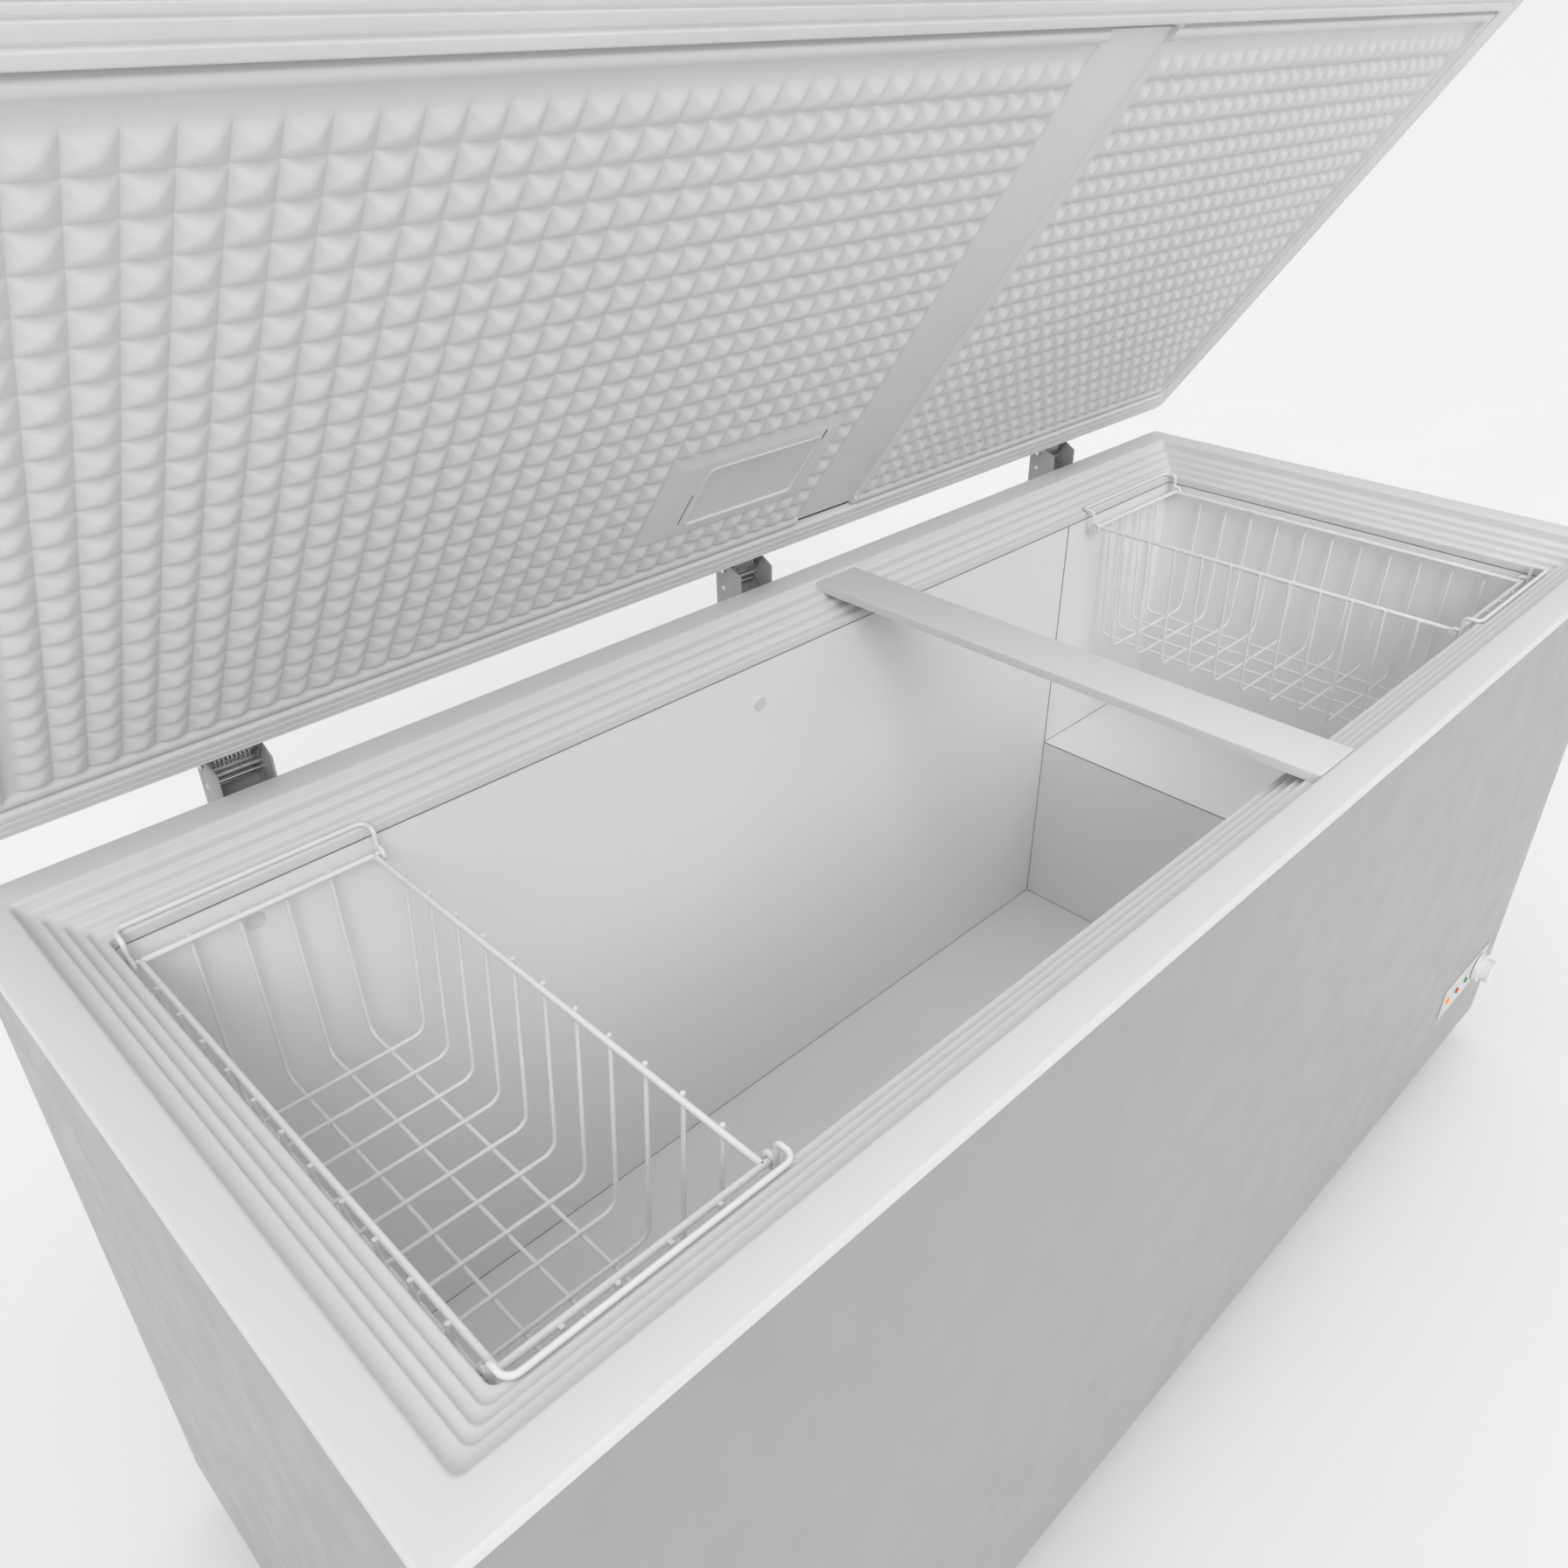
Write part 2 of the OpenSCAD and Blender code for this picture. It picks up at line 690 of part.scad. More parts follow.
module drain_cap() color("white") in_frame() difference() {
    bar_y(drain_x, -face_y - drain_out - 3, -face_y - 1, drain_z, drain_r + 3);
    bar_y(drain_x, -face_y - drain_out - hair, -face_y, drain_z, drain_r + 0.1);
}

module levelling_feet() color("#303030") in_frame() for (y = [-1, 1])
    translate([-support_x, y * support_y, 0]) {
        cylinder(d = foot_d, h = 7);
        cylinder(d = 10, h = floor_gap);
        translate([0, 0, floor_gap - 12]) cylinder(d = 20, h = 6, $fn = 6);
    }

module roller_brackets() color("silver") in_frame() for (y = [-1, 1])
    translate([support_x, y * support_y, 0]) difference() {
        union() {
            block([-32, -fork_gap - fork_sheet, floor_gap - 3], [32, fork_gap + fork_sheet, floor_gap]);
            for (side = [-1, 1]) translate([0, side * (fork_gap + fork_sheet / 2), 0])
                block([-13, -fork_sheet / 2, wheel_d / 2 - 9], [13, fork_sheet / 2, floor_gap - 2]);
        }
        bar_y(0, -fork_gap - 20, fork_gap + 20, wheel_d / 2, axle_d / 2);
    }

module roller_wheel(side) color("#303030") in_frame() translate([support_x, side * support_y, 0]) difference() {
    bar_y(0, -wheel_width / 2, wheel_width / 2, wheel_d / 2, wheel_d / 2);
    bar_y(0, -wheel_width, wheel_width, wheel_d / 2, axle_d / 2 + pin_clearance);
}

module roller_wheel_front() roller_wheel(-1);

module roller_wheel_back() roller_wheel(1);

module roller_axles() color("silver") in_frame() for (y = [-1, 1]) translate([support_x, y * support_y, 0]) {
    out = fork_gap + fork_sheet;
    bar_y(0, -out - 2, out + 2, wheel_d / 2, axle_d / 2);
    bar_y(0, out, out + 3, wheel_d / 2, axle_d / 2 + 2);
}

// A flat plate that lies across X, with its outline given in Y and Z.
module side_plate(x0, x1, outline) {
    translate([x0, 0, 0]) rotate([90, 0, 90]) linear_extrude(x1 - x0) polygon(outline);
}

rod_drop = 24;
rod_r = 3;
swing_gap = 0.5;
rear_web = [55, 8];
leaf_lip = [8, 4];
web_inset = 0.5;
web_share = 0.6;

// A channel on the cabinet's back that carries the pin and a lower stop rod.
module hinge_bracket(x) difference() {
    w = hinge_width / 2;
    low = rim_height - hinge_drop;
    high = rim_height - rim_edge - 2;
    axis = [axis_y, axis_z];
    outline = [
        [face_y, low], [face_y, high], [half_d + 1.5, high], [half_d + 1.5, axis_z - 2],
        axis + bracket_round * [cos(118), sin(118)], axis, axis + [bracket_round, 0],
        [axis_y + bracket_round, rim_height - 60], [face_y + 14, low]
    ];
    union() {
        block([x - w, face_y, low], [x + w, face_y + hinge_sheet, high]);
        block(
            [x - w, axis_y + leaf_round + swing_gap, rim_height - rear_web[0]],
            [x + w, axis_y + bracket_round, axis_z - rear_web[1]]);
        for (side = [-1, 1]) {
            inner = x + side * (w - hinge_sheet / 2);
            side_plate(inner - hinge_sheet / 2, inner + hinge_sheet / 2, outline);
            bar_x(inner - hinge_sheet / 2, inner + hinge_sheet / 2, axis_y, axis_z, bracket_round);
        }
    }
    bar_x(x - w - 1, x + w + 1, axis_y, axis_z, hinge_pin_d / 2);
    bar_x(x - w - 1, x + w + 1, axis_y, axis_z - rod_drop, rod_r);
}

module hinge_brackets() color("lightgray") in_frame() for (x = hinge_xs) hinge_bracket(x);

module hinge_pins() color("silver") in_frame() for (x = hinge_xs) {
    out = hinge_width / 2;
    bar_x(x - out - 2, x + out + 2, axis_y, axis_z, hinge_pin_d / 2);
    bar_x(x + out, x + out + 3, axis_y, axis_z, hinge_pin_d / 2 + 2);
    bar_x(x - out, x + out, axis_y, axis_z - rod_drop, rod_r);
}

leaf_half = hinge_width / 2 - hinge_sheet - 0.5;

// A channel on the lid's rear edge that turns on the pin, given in the shut position.
module hinge_leaf(x) difference() {
    axis = [axis_y, axis_z];
    slant = [cos(45), sin(45)];
    corner = [half_d + leaf_lip[0], lid_high - leaf_lip[1]];
    web_top = corner - 2 * web_inset * slant;
    web_low = axis + (leaf_round - web_inset) * slant;
    inward = -web_share * hinge_sheet * slant;
    outline = [
        [half_d, lid_low + 2], [half_d, lid_high - leaf_lip[1]], corner,
        axis + leaf_round * slant, axis, axis + leaf_round * [cos(255), sin(255)]
    ];
    union() {
        block(
            [x - leaf_half, half_d, lid_low + 2],
            [x + leaf_half, half_d + hinge_sheet, lid_high - leaf_lip[1]]);
        side_plate(x - leaf_half, x + leaf_half, [web_top, web_low, web_low + inward, web_top + inward]);
        for (side = [-1, 1]) {
            inner = x + side * (leaf_half - hinge_sheet / 2);
            side_plate(inner - hinge_sheet / 2, inner + hinge_sheet / 2, outline);
            bar_x(inner - hinge_sheet / 2, inner + hinge_sheet / 2, axis_y, axis_z, leaf_round);
        }
    }
    bar_x(x - hinge_width, x + hinge_width, axis_y, axis_z, hinge_pin_d / 2 + pin_clearance);
}

module hinge_leaves() color("silver") on_lid() for (x = hinge_xs) hinge_leaf(x);

// A round wire wound along X, swept as rings of six points.
module coil(length, turns, radius, wire_r) {
    steps = turns * 14;
    sides = 6;
    points = [
        for (i = [0:steps], k = [0:sides - 1])
            let (
                a = 360 * turns * i / steps,
                b = 360 * k / sides,
                out = radius + wire_r * cos(b)
            )
            [length * (i / steps - 0.5) + wire_r * sin(b), out * cos(a), out * sin(a)]
    ];
    walls = [
        for (i = [0:steps - 1], k = [0:sides - 1])
            let (n = (k + 1) % sides)
            each [
                [i * sides + k, i * sides + n, (i + 1) * sides + n],
                [i * sides + k, (i + 1) * sides + n, (i + 1) * sides + k]
            ]
    ];
    first = [for (k = [sides - 1:-1:0]) k];
    last = [for (k = [0:sides - 1]) steps * sides + k];
    polyhedron(points, concat(walls, [first, last]), convexity = 10);
}

module hinge_springs() color("gray") in_frame() for (x = hinge_xs)
    translate([x, axis_y, axis_z])
        coil(2 * (leaf_half - hinge_sheet - 3), 9, hinge_pin_d / 2 + 2.2, 1.3);

module lid_skin() color("whitesmoke") on_lid() difference() {
    inset_block(0, lid_low, lid_high);
    inset_block(sheet, lid_low - 1, lid_high - sheet);
}

// The hole in the lid that the lamp housing fills.
module lamp_pocket(margin) {
    block(
        [window_x - margin, window_y - margin, rim_height - 5],
        [window_x + lamp_length + margin, window_y + lamp_width + margin, rim_height + lamp_depth]);
}

module lid_foam() color("khaki") on_lid() difference() {
    union() {
        inset_block(sheet, lid_low + lid_liner_sheet, lid_high - sheet);
        inset_block(lid_border + lid_liner_sheet, rim_height + lid_liner_sheet, lid_low + lid_liner_sheet);
    }
    lamp_pocket(2);
}

// The lid's liner from one place along X to another: a flange round a shallow pan.
module lid_tray(x0, x1) {
    difference() {
        union() {
            inset_block(sheet, lid_low, lid_low + lid_liner_sheet);
            inset_block(lid_border, rim_height, lid_low + lid_liner_sheet);
        }
        inset_block(lid_border + lid_liner_sheet, rim_height + lid_liner_sheet, lid_high);
        lamp_pocket(2);
        block([-cabinet_length, -half_d, 0], [x0, half_d, 2 * rim_height]);
        block([x1, -half_d, 0], [cabinet_length, half_d, 2 * rim_height]);
    }
}

module lid_liner_left() color("white") on_lid() lid_tray(-half_l, strip_left);

module lid_liner_right() color("white") on_lid() lid_tray(strip_right, half_l);

module lid_joint_strip() color("white") on_lid() lid_tray(strip_left, strip_right);

module lid_gasket() color("silver") on_lid() difference() {
    inset_block(gasket_inset, rim_height + hair, lid_low);
    inset_block(gasket_inset + gasket_width, rim_height, lid_low + 1);
}

module lamp_housing() color("white") on_lid() difference() {
    union() {
        lamp_pocket(2);
        block(
            [window_x - lamp_frame, window_y - lamp_frame, rim_height - 1.5],
            [window_x + lamp_length + lamp_frame, window_y + lamp_width + lamp_frame, rim_height]);
    }
    block([-half_l, -half_d, 0], [half_l, half_d, rim_height - 1.5]);
    block(
        [window_x, window_y, rim_height - 6],
        [window_x + lamp_length, window_y + lamp_width, rim_height + lamp_depth - 2]);
}

module lamp_lens() color("ivory") on_lid() block(
    [window_x + 14, window_y + 14, rim_height + lamp_depth - 12],
    [window_x + lamp_length - 14, window_y + lamp_width - 14, rim_height + lamp_depth - 2]);

// A bar across two posts on the lid's front edge.
module lid_handle() color("white") on_lid() {
    x = handle_length / 2;
    out = -half_d - handle_gap;
    block([-x, out - handle_bar, handle_low], [x, out, handle_high]);
    for (side = [-1, 1]) block(
        [side * (x - 9) - 9, out - 1, handle_low], [side * (x - 9) + 9, -half_d, handle_high]);
}

// A wire between two points, a little longer than the gap so that its ends are buried.
module wire(p, q, r) {
    along = (q - p) / norm(q - p) * r * 0.6;
    bar(p - along, q + along, r, 8);
}

module wires(route, r) {
    for (i = [1:len(route) - 1]) wire(route[i - 1], route[i], r);
}

// A wire basket whose grid hangs from a thicker frame with a stub beyond each corner.
module basket(x0) color("white") in_frame() {
    x1 = x0 + basket_length;
    y = basket_y;
    top = rim_height - basket_top;
    low = top - basket_height;
    t = basket_taper;
    r = grid_wire / 2;
    long_low = low - 2 * r + 0.5;
    cross_pitch = 2 * (y - t - wire_margin) / (cross_wires - 1);
    long_pitch = basket_length / (long_wires + 1);
    for (x = [x0, x1]) wire([x, -y, top], [x, y, top], frame_wire / 2);
    for (v = [-y, y]) bar_x(x0 - stub, x1 + stub, v, top, frame_wire / 2);
    for (i = [0:cross_wires - 1]) {
        v = -y + t + wire_margin + i * cross_pitch;
        wires([[x0, v, top], [x0 + t, v, low], [x1 - t, v, low], [x1, v, top]], r);
    }
    for (i = [1:long_wires]) {
        u = x0 + i * long_pitch;
        wires([[u, -y, top], [u, t - y, long_low], [u, y - t, long_low], [u, y, top]], r);
    }
}

// A handle whose eyes turn on two stubs and whose rail lies out on the rim's lowest ledge.
module basket_handle(x0, side) color("white") in_frame() {
    r = handle_wire / 2;
    eye_r = frame_wire / 2 + hair + r;
    y = side * basket_y;
    top = rim_height - basket_top;
    ledge = rim_height - ledge_drop + hair + r;
    out = side * (liner_y + 5);
    ends = [x0 - stub + 4, x0 + basket_length + stub - 4];
    for (x = ends) translate([x, y, top]) rotate([0, 90, 0])
        rotate_extrude($fn = 32) translate([eye_r, 0]) circle(r, $fn = 16);
    wires([
        [ends[0], y, top + eye_r], [ends[0], y + side * 5, ledge], [ends[0], out, ledge],
        [ends[1], out, ledge], [ends[1], y + side * 5, ledge], [ends[1], y, top + eye_r]
    ], r);
}

module basket_left() basket(basket_left_x);

module basket_right() basket(basket_right_x);

module basket_left_handle_front() basket_handle(basket_left_x, -1);

module basket_left_handle_back() basket_handle(basket_left_x, 1);

module basket_right_handle_front() basket_handle(basket_right_x, -1);

module basket_right_handle_back() basket_handle(basket_right_x, 1);

front_panel();
left_end_panel();
right_end_panel();
back_panel();
base_plate();
cabinet_foam();
inner_liner();
rim_front();
rim_back();
rim_left();
rim_right();
crossbar();
liner_plugs();
evaporator_coil();
condenser_coil();
bay_panel();
compressor();
compressor_feet();
compressor_grommets();
compressor_bolts();
relay_cover();
filter_drier();
refrigerant_pipes();
side_grille();
grille_screws();
control_plate();
thermostat_body();
thermostat_knob();
green_lamp();
red_lamp();
orange_lamp();
cord_gland();
drain_tube();
drain_plug();
drain_cap();
levelling_feet();
roller_brackets();
roller_wheel_front();
roller_wheel_back();
roller_axles();
hinge_brackets();
hinge_pins();
hinge_springs();
lid_skin();
lid_foam();
lid_liner_left();
lid_liner_right();
lid_joint_strip();
lid_gasket();
lamp_housing();
lamp_lens();
lid_handle();
hinge_leaves();
basket_left();
basket_right();
basket_left_handle_front();
basket_left_handle_back();
basket_right_handle_front();
basket_right_handle_back();
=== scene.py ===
import json
from math import cos, pi, radians, sin, tan

import bmesh
import bpy
from mathutils import Matrix, Vector

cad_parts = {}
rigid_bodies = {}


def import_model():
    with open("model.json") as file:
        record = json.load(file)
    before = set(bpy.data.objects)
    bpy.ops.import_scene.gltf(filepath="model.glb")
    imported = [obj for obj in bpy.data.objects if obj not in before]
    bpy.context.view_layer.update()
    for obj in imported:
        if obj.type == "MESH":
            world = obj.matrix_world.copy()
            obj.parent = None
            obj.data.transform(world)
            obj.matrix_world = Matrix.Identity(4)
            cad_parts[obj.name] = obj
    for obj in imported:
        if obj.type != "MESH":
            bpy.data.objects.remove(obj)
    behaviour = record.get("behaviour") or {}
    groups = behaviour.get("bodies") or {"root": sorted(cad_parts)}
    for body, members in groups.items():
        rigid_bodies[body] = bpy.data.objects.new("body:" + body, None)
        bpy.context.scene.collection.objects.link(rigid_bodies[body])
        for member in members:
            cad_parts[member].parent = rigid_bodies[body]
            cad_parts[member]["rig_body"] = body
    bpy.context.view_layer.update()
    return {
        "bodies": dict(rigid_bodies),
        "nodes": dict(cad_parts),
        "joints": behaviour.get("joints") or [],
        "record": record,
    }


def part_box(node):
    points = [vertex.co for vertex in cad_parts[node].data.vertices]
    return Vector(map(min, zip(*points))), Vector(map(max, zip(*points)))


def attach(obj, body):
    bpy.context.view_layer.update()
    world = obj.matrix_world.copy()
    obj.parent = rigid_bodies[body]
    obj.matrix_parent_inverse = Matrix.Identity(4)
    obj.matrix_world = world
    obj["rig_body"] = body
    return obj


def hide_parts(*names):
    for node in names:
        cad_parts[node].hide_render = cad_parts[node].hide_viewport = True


for leftover in list(bpy.data.objects):
    bpy.data.objects.remove(leftover)

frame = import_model()
nodes = frame["nodes"]
joints = {joint["name"]: joint for joint in frame["joints"]}
mm = 0.001
weld = 0.01 * mm

# places read from the frame, in metres
rimLow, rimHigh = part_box("rim_front")[0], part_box("rim_back")[1]
rimTop = rimHigh.z
halfL = (rimHigh.x - rimLow.x) / 2
halfD = (rimHigh.y - rimLow.y) / 2
midY = (rimHigh.y + rimLow.y) / 2
lidPin = Vector(joints["lid_hinge"]["pos_m"])
lidAngle = radians(-joints["lid_hinge"]["range_deg"][0])
print("frame loaded,", len(nodes), "nodes")


def rounded(points, radius, steps=4, closed=False):
    # a polyline with each corner turned into an arc; radius may be one number or one per point
    points = [Vector(p) for p in points]
    count = len(points)
    radii = radius if isinstance(radius, (list, tuple)) else [radius] * count
    out = []
    for i, p in enumerate(points):
        if not closed and i in (0, count - 1) or radii[i] <= 0:
            out.append(p)
            continue
        back, ahead = points[i - 1] - p, points[(i + 1) % count] - p
        half = back.angle(ahead) / 2
        if half > pi / 2 - 0.02:  # all but straight
            out.append(p)
            continue
        reach = min(radii[i] / tan(half), 0.49 * back.length, 0.49 * ahead.length)
        arc = reach * tan(half)
        middle = p + (back.normalized() + ahead.normalized()).normalized() * arc / sin(half)
        start = (p + back.normalized() * reach - middle).normalized()
        end = (p + ahead.normalized() * reach - middle).normalized()
        for k in range(steps + 1):
            out.append(middle + start.slerp(end, k / steps) * arc)
    return out


def aboveRim(points):
    # (inset, height) in millimetres to metres, with heights counted from the rim's top
    return [(point[0] * mm, rimTop + point[1] * mm) for point in points]


def clamp(value, low, high):
    return min(max(value, low), high)


def block(bm, size, centre):
    verts = bmesh.ops.create_cube(bm, size=1)["verts"]
    bmesh.ops.scale(bm, vec=size, verts=verts)
    bmesh.ops.translate(bm, vec=centre, verts=verts)
    return verts


def darken(verts):
    # gives a block the piece's second material, the near-black painted shade
    for face in {face for vert in verts for face in vert.link_faces}:
        face.material_index = 1


def faceDown(bm):
    # an open sheet on the lid shows its underside while the lid is shut
    bmesh.ops.recalc_face_normals(bm, faces=bm.faces)
    if sum(face.normal.z * face.calc_area() for face in bm.faces) > 0:
        bmesh.ops.reverse_faces(bm, faces=bm.faces)


def openLid(bm):
    # turns a piece modelled with the lid shut to where the lid stands open
    bmesh.ops.rotate(bm, cent=lidPin, matrix=Matrix.Rotation(-lidAngle, 3, "X"), verts=bm.verts)


def makePiece(bm, name, body, material, stands=(), crease=32, recalc=True):
    bmesh.ops.remove_doubles(bm, verts=bm.verts, dist=weld)
    if recalc:
        bmesh.ops.recalc_face_normals(bm, faces=bm.faces)
    mesh = bpy.data.meshes.new(name)
    bm.to_mesh(mesh)
    bm.free()
    return addPiece(mesh, name, body, material, stands, crease)


def addPiece(mesh, name, body, material, stands=(), crease=32):
    for face in mesh.polygons:
        face.use_smooth = True
    mesh.set_sharp_from_angle(angle=radians(crease))
    piece = bpy.data.objects.new(name, mesh)
    bpy.context.scene.collection.objects.link(piece)
    for coat in material if isinstance(material, list) else [material]:
        mesh.materials.append(coat)
    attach(piece, body)
    if stands:
        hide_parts(*stands)
    return piece


def startLoop(bm, places):
    verts = [bm.verts.new(place) for place in places]
    return verts, [bm.edges.new((verts[i - 1], verts[i])) for i in range(len(verts))]


def carry(bm, verts, edges, places):
    # extrudes a loop and sets each new point in its place
    grown = bmesh.ops.extrude_edge_only(bm, edges=edges)["geom"]
    fresh = {g for g in grown if isinstance(g, bmesh.types.BMVert)}
    rank = {v: i for i, v in enumerate(verts)}
    order = {v: rank[next(e.other_vert(v) for e in v.link_edges if e.other_vert(v) not in fresh)]
             for v in fresh}
    moved = sorted(fresh, key=order.get)
    for vert, place in zip(moved, places):
        vert.co = place
    return moved, [g for g in grown if isinstance(g, bmesh.types.BMEdge)
                   and all(v in fresh for v in g.verts)]


def sweep(bm, profile, stations, closed):
    # carries a closed profile of (inset, height) points along stations, each a rule from inset to (x, y)
    verts, first = startLoop(bm, [(*stations[0](w), z) for w, z in profile])
    edges = first
    for place in stations[1:] + ([stations[0]] if closed else []):
        verts, edges = carry(bm, verts, edges, [(*place(w), z) for w, z in profile])
    if not closed:
        for rim in (first, edges):
            bmesh.ops.contextual_create(bm, geom=rim)


def cornerStations(signX, signY, radius, steps, fromEnd):
    # stations round one corner, from the end wall to the long wall or the other way
    out = []
    for k in range(steps + 1):
        turn = pi / 2 * k / steps
        cutX, cutY = radius * (1 - cos(turn)), radius * (1 - sin(turn))
        out.append(lambda w, cx=cutX, cy=cutY: (
            signX * (halfL - w - cx), midY + signY * (halfD - w - cy)))
    return out if fromEnd else out[::-1]


def ringStations(radius, steps):
    return (cornerStations(1, 1, radius, steps, True) + cornerStations(-1, 1, radius, steps, False)
            + cornerStations(-1, -1, radius, steps, True) + cornerStations(1, -1, radius, steps, False))


def wirePiece(name, body, paths, material, stands=(), sides=10):
    # bends round wires along paths, each given as its points, its radius and whether it closes
    curve = bpy.data.curves.new(name, "CURVE")
    curve.dimensions = "3D"
    thickest = max(r for _, r, _ in paths)
    curve.bevel_depth = thickest
    curve.bevel_resolution = sides // 2 - 2
    curve.use_fill_caps = True
    for points, r, cyclic in paths:
        spline = curve.splines.new("POLY")
        spline.points.add(len(points) - 1)
        for point, place in zip(spline.points, points):
            point.co = (*place, 1)
            point.radius = r / thickest
        spline.use_cyclic_u = cyclic
    holder = bpy.data.objects.new(name + "_route", curve)
    bpy.context.scene.collection.objects.link(holder)
    bpy.context.view_layer.update()
    mesh = bpy.data.meshes.new_from_object(holder.evaluated_get(bpy.context.evaluated_depsgraph_get()))
    bpy.data.objects.remove(holder)
    mesh.name = name
    mesh.materials.clear()
    return addPiece(mesh, name, body, material, stands, crease=50)


def softened(node, width, segments, material, hardFrom=35):
    # a copy of a CAD node whose edges of hardFrom degrees or more are rolled over, width in millimetres
    bm = bmesh.new()
    bm.from_mesh(nodes[node].data)
    bmesh.ops.remove_doubles(bm, verts=bm.verts, dist=weld)
    bmesh.ops.dissolve_limit(bm, angle_limit=radians(1), verts=bm.verts, edges=bm.edges)
    hard = [e for e in bm.edges if len(e.link_faces) == 2 and e.calc_face_angle(0) > radians(hardFrom)]
    bmesh.ops.bevel(bm, geom=hard, offset=width * mm, segments=segments, affect="EDGES", profile=0.5,
                    material=-1, clamp_overlap=True)
    makePiece(bm, node + "_soft", nodes[node]["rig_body"], material, [node], recalc=False)


def newGroup(name, inputs, outputs):
    group = bpy.data.node_groups.new(name, "ShaderNodeTree")
    for label, kind, value in inputs:
        socket = group.interface.new_socket(name=label, in_out="INPUT", socket_type=kind)
        if value is not None:
            socket.default_value = value
    for label, kind in outputs:
        group.interface.new_socket(name=label, in_out="OUTPUT", socket_type=kind)
    return group, group.nodes.new("NodeGroupInput"), group.nodes.new("NodeGroupOutput")


def drift():
    # slow tone and gloss variation: large soft patches with a finer one laid over them
    group, entry, leave = newGroup("slowDrift", [
        ("Vector", "NodeSocketVector", None), ("Scale", "NodeSocketFloat", 3.0),
        ("Light", "NodeSocketColor", (0.8, 0.8, 0.8, 1)), ("Dark", "NodeSocketColor", (0.7, 0.7, 0.7, 1)),
        ("Smooth", "NodeSocketFloat", 0.3), ("Rough", "NodeSocketFloat", 0.45)],
        [("Color", "NodeSocketColor"), ("Roughness", "NodeSocketFloat")])
    add, link = group.nodes.new, group.links.new
    broad, fine = add("ShaderNodeTexNoise"), add("ShaderNodeTexNoise")
    finer, blend = add("ShaderNodeMath"), add("ShaderNodeMath")
    broad.inputs["Detail"].default_value = 2
    fine.inputs["Detail"].default_value = 6
    finer.operation, blend.operation = "MULTIPLY", "MULTIPLY_ADD"
    finer.inputs[1].default_value = 9  # how much smaller the fine patches are
    blend.inputs[1].default_value, blend.inputs[2].default_value = 0.35, 0  # and how faint
    tone, gloss = add("ShaderNodeMix"), add("ShaderNodeMapRange")
    tone.data_type = "RGBA"
    spread, total = add("ShaderNodeMapRange"), add("ShaderNodeMath")
    total.operation = "ADD"
    spread.inputs["From Min"].default_value, spread.inputs["From Max"].default_value = 0.45, 0.85
    link(entry.outputs["Vector"], broad.inputs["Vector"])
    link(entry.outputs["Scale"], broad.inputs["Scale"])
    link(entry.outputs["Scale"], finer.inputs[0])
    link(entry.outputs["Vector"], fine.inputs["Vector"])
    link(finer.outputs[0], fine.inputs["Scale"])
    link(fine.outputs["Fac"], blend.inputs[0])
    link(broad.outputs["Fac"], total.inputs[0])
    link(blend.outputs[0], total.inputs[1])
    link(total.outputs[0], spread.inputs["Value"])
    link(spread.outputs["Result"], tone.inputs["Factor"])
    link(entry.outputs["Light"], tone.inputs["A"])
    link(entry.outputs["Dark"], tone.inputs["B"])
    link(tone.outputs["Result"], leave.inputs["Color"])
    link(fine.outputs["Fac"], gloss.inputs["Value"])
    gloss.inputs["From Min"].default_value, gloss.inputs["From Max"].default_value = 0.3, 0.7
    link(entry.outputs["Smooth"], gloss.inputs["To Min"])
    link(entry.outputs["Rough"], gloss.inputs["To Max"])
    link(gloss.outputs["Result"], leave.inputs["Roughness"])
    return group


def skinTexture():
    # fine relief of a painted or moulded skin, with slow waviness under it
    group, entry, leave = newGroup("skinTexture", [
        ("Vector", "NodeSocketVector", None), ("Grain", "NodeSocketFloat", 900.0),
        ("Depth", "NodeSocketFloat", 0.00003), ("Wave", "NodeSocketFloat", 6.0),
        ("Sway", "NodeSocketFloat", 0.0004)], [("Normal", "NodeSocketVector")])
    add, link = group.nodes.new, group.links.new
    grain, wave = add("ShaderNodeTexNoise"), add("ShaderNodeTexNoise")
    small, large = add("ShaderNodeBump"), add("ShaderNodeBump")
    grain.inputs["Detail"].default_value = 3
    wave.inputs["Detail"].default_value = 1
    link(entry.outputs["Vector"], grain.inputs["Vector"])
    link(entry.outputs["Vector"], wave.inputs["Vector"])
    link(entry.outputs["Grain"], grain.inputs["Scale"])
    link(entry.outputs["Wave"], wave.inputs["Scale"])
    link(wave.outputs["Fac"], large.inputs["Height"])
    link(entry.outputs["Sway"], large.inputs["Distance"])
    link(grain.outputs["Fac"], small.inputs["Height"])
    link(entry.outputs["Depth"], small.inputs["Distance"])
    link(large.outputs["Normal"], small.inputs["Normal"])
    link(small.outputs["Normal"], leave.inputs["Normal"])
    return group


driftGroup, skinGroup = drift(), skinTexture()


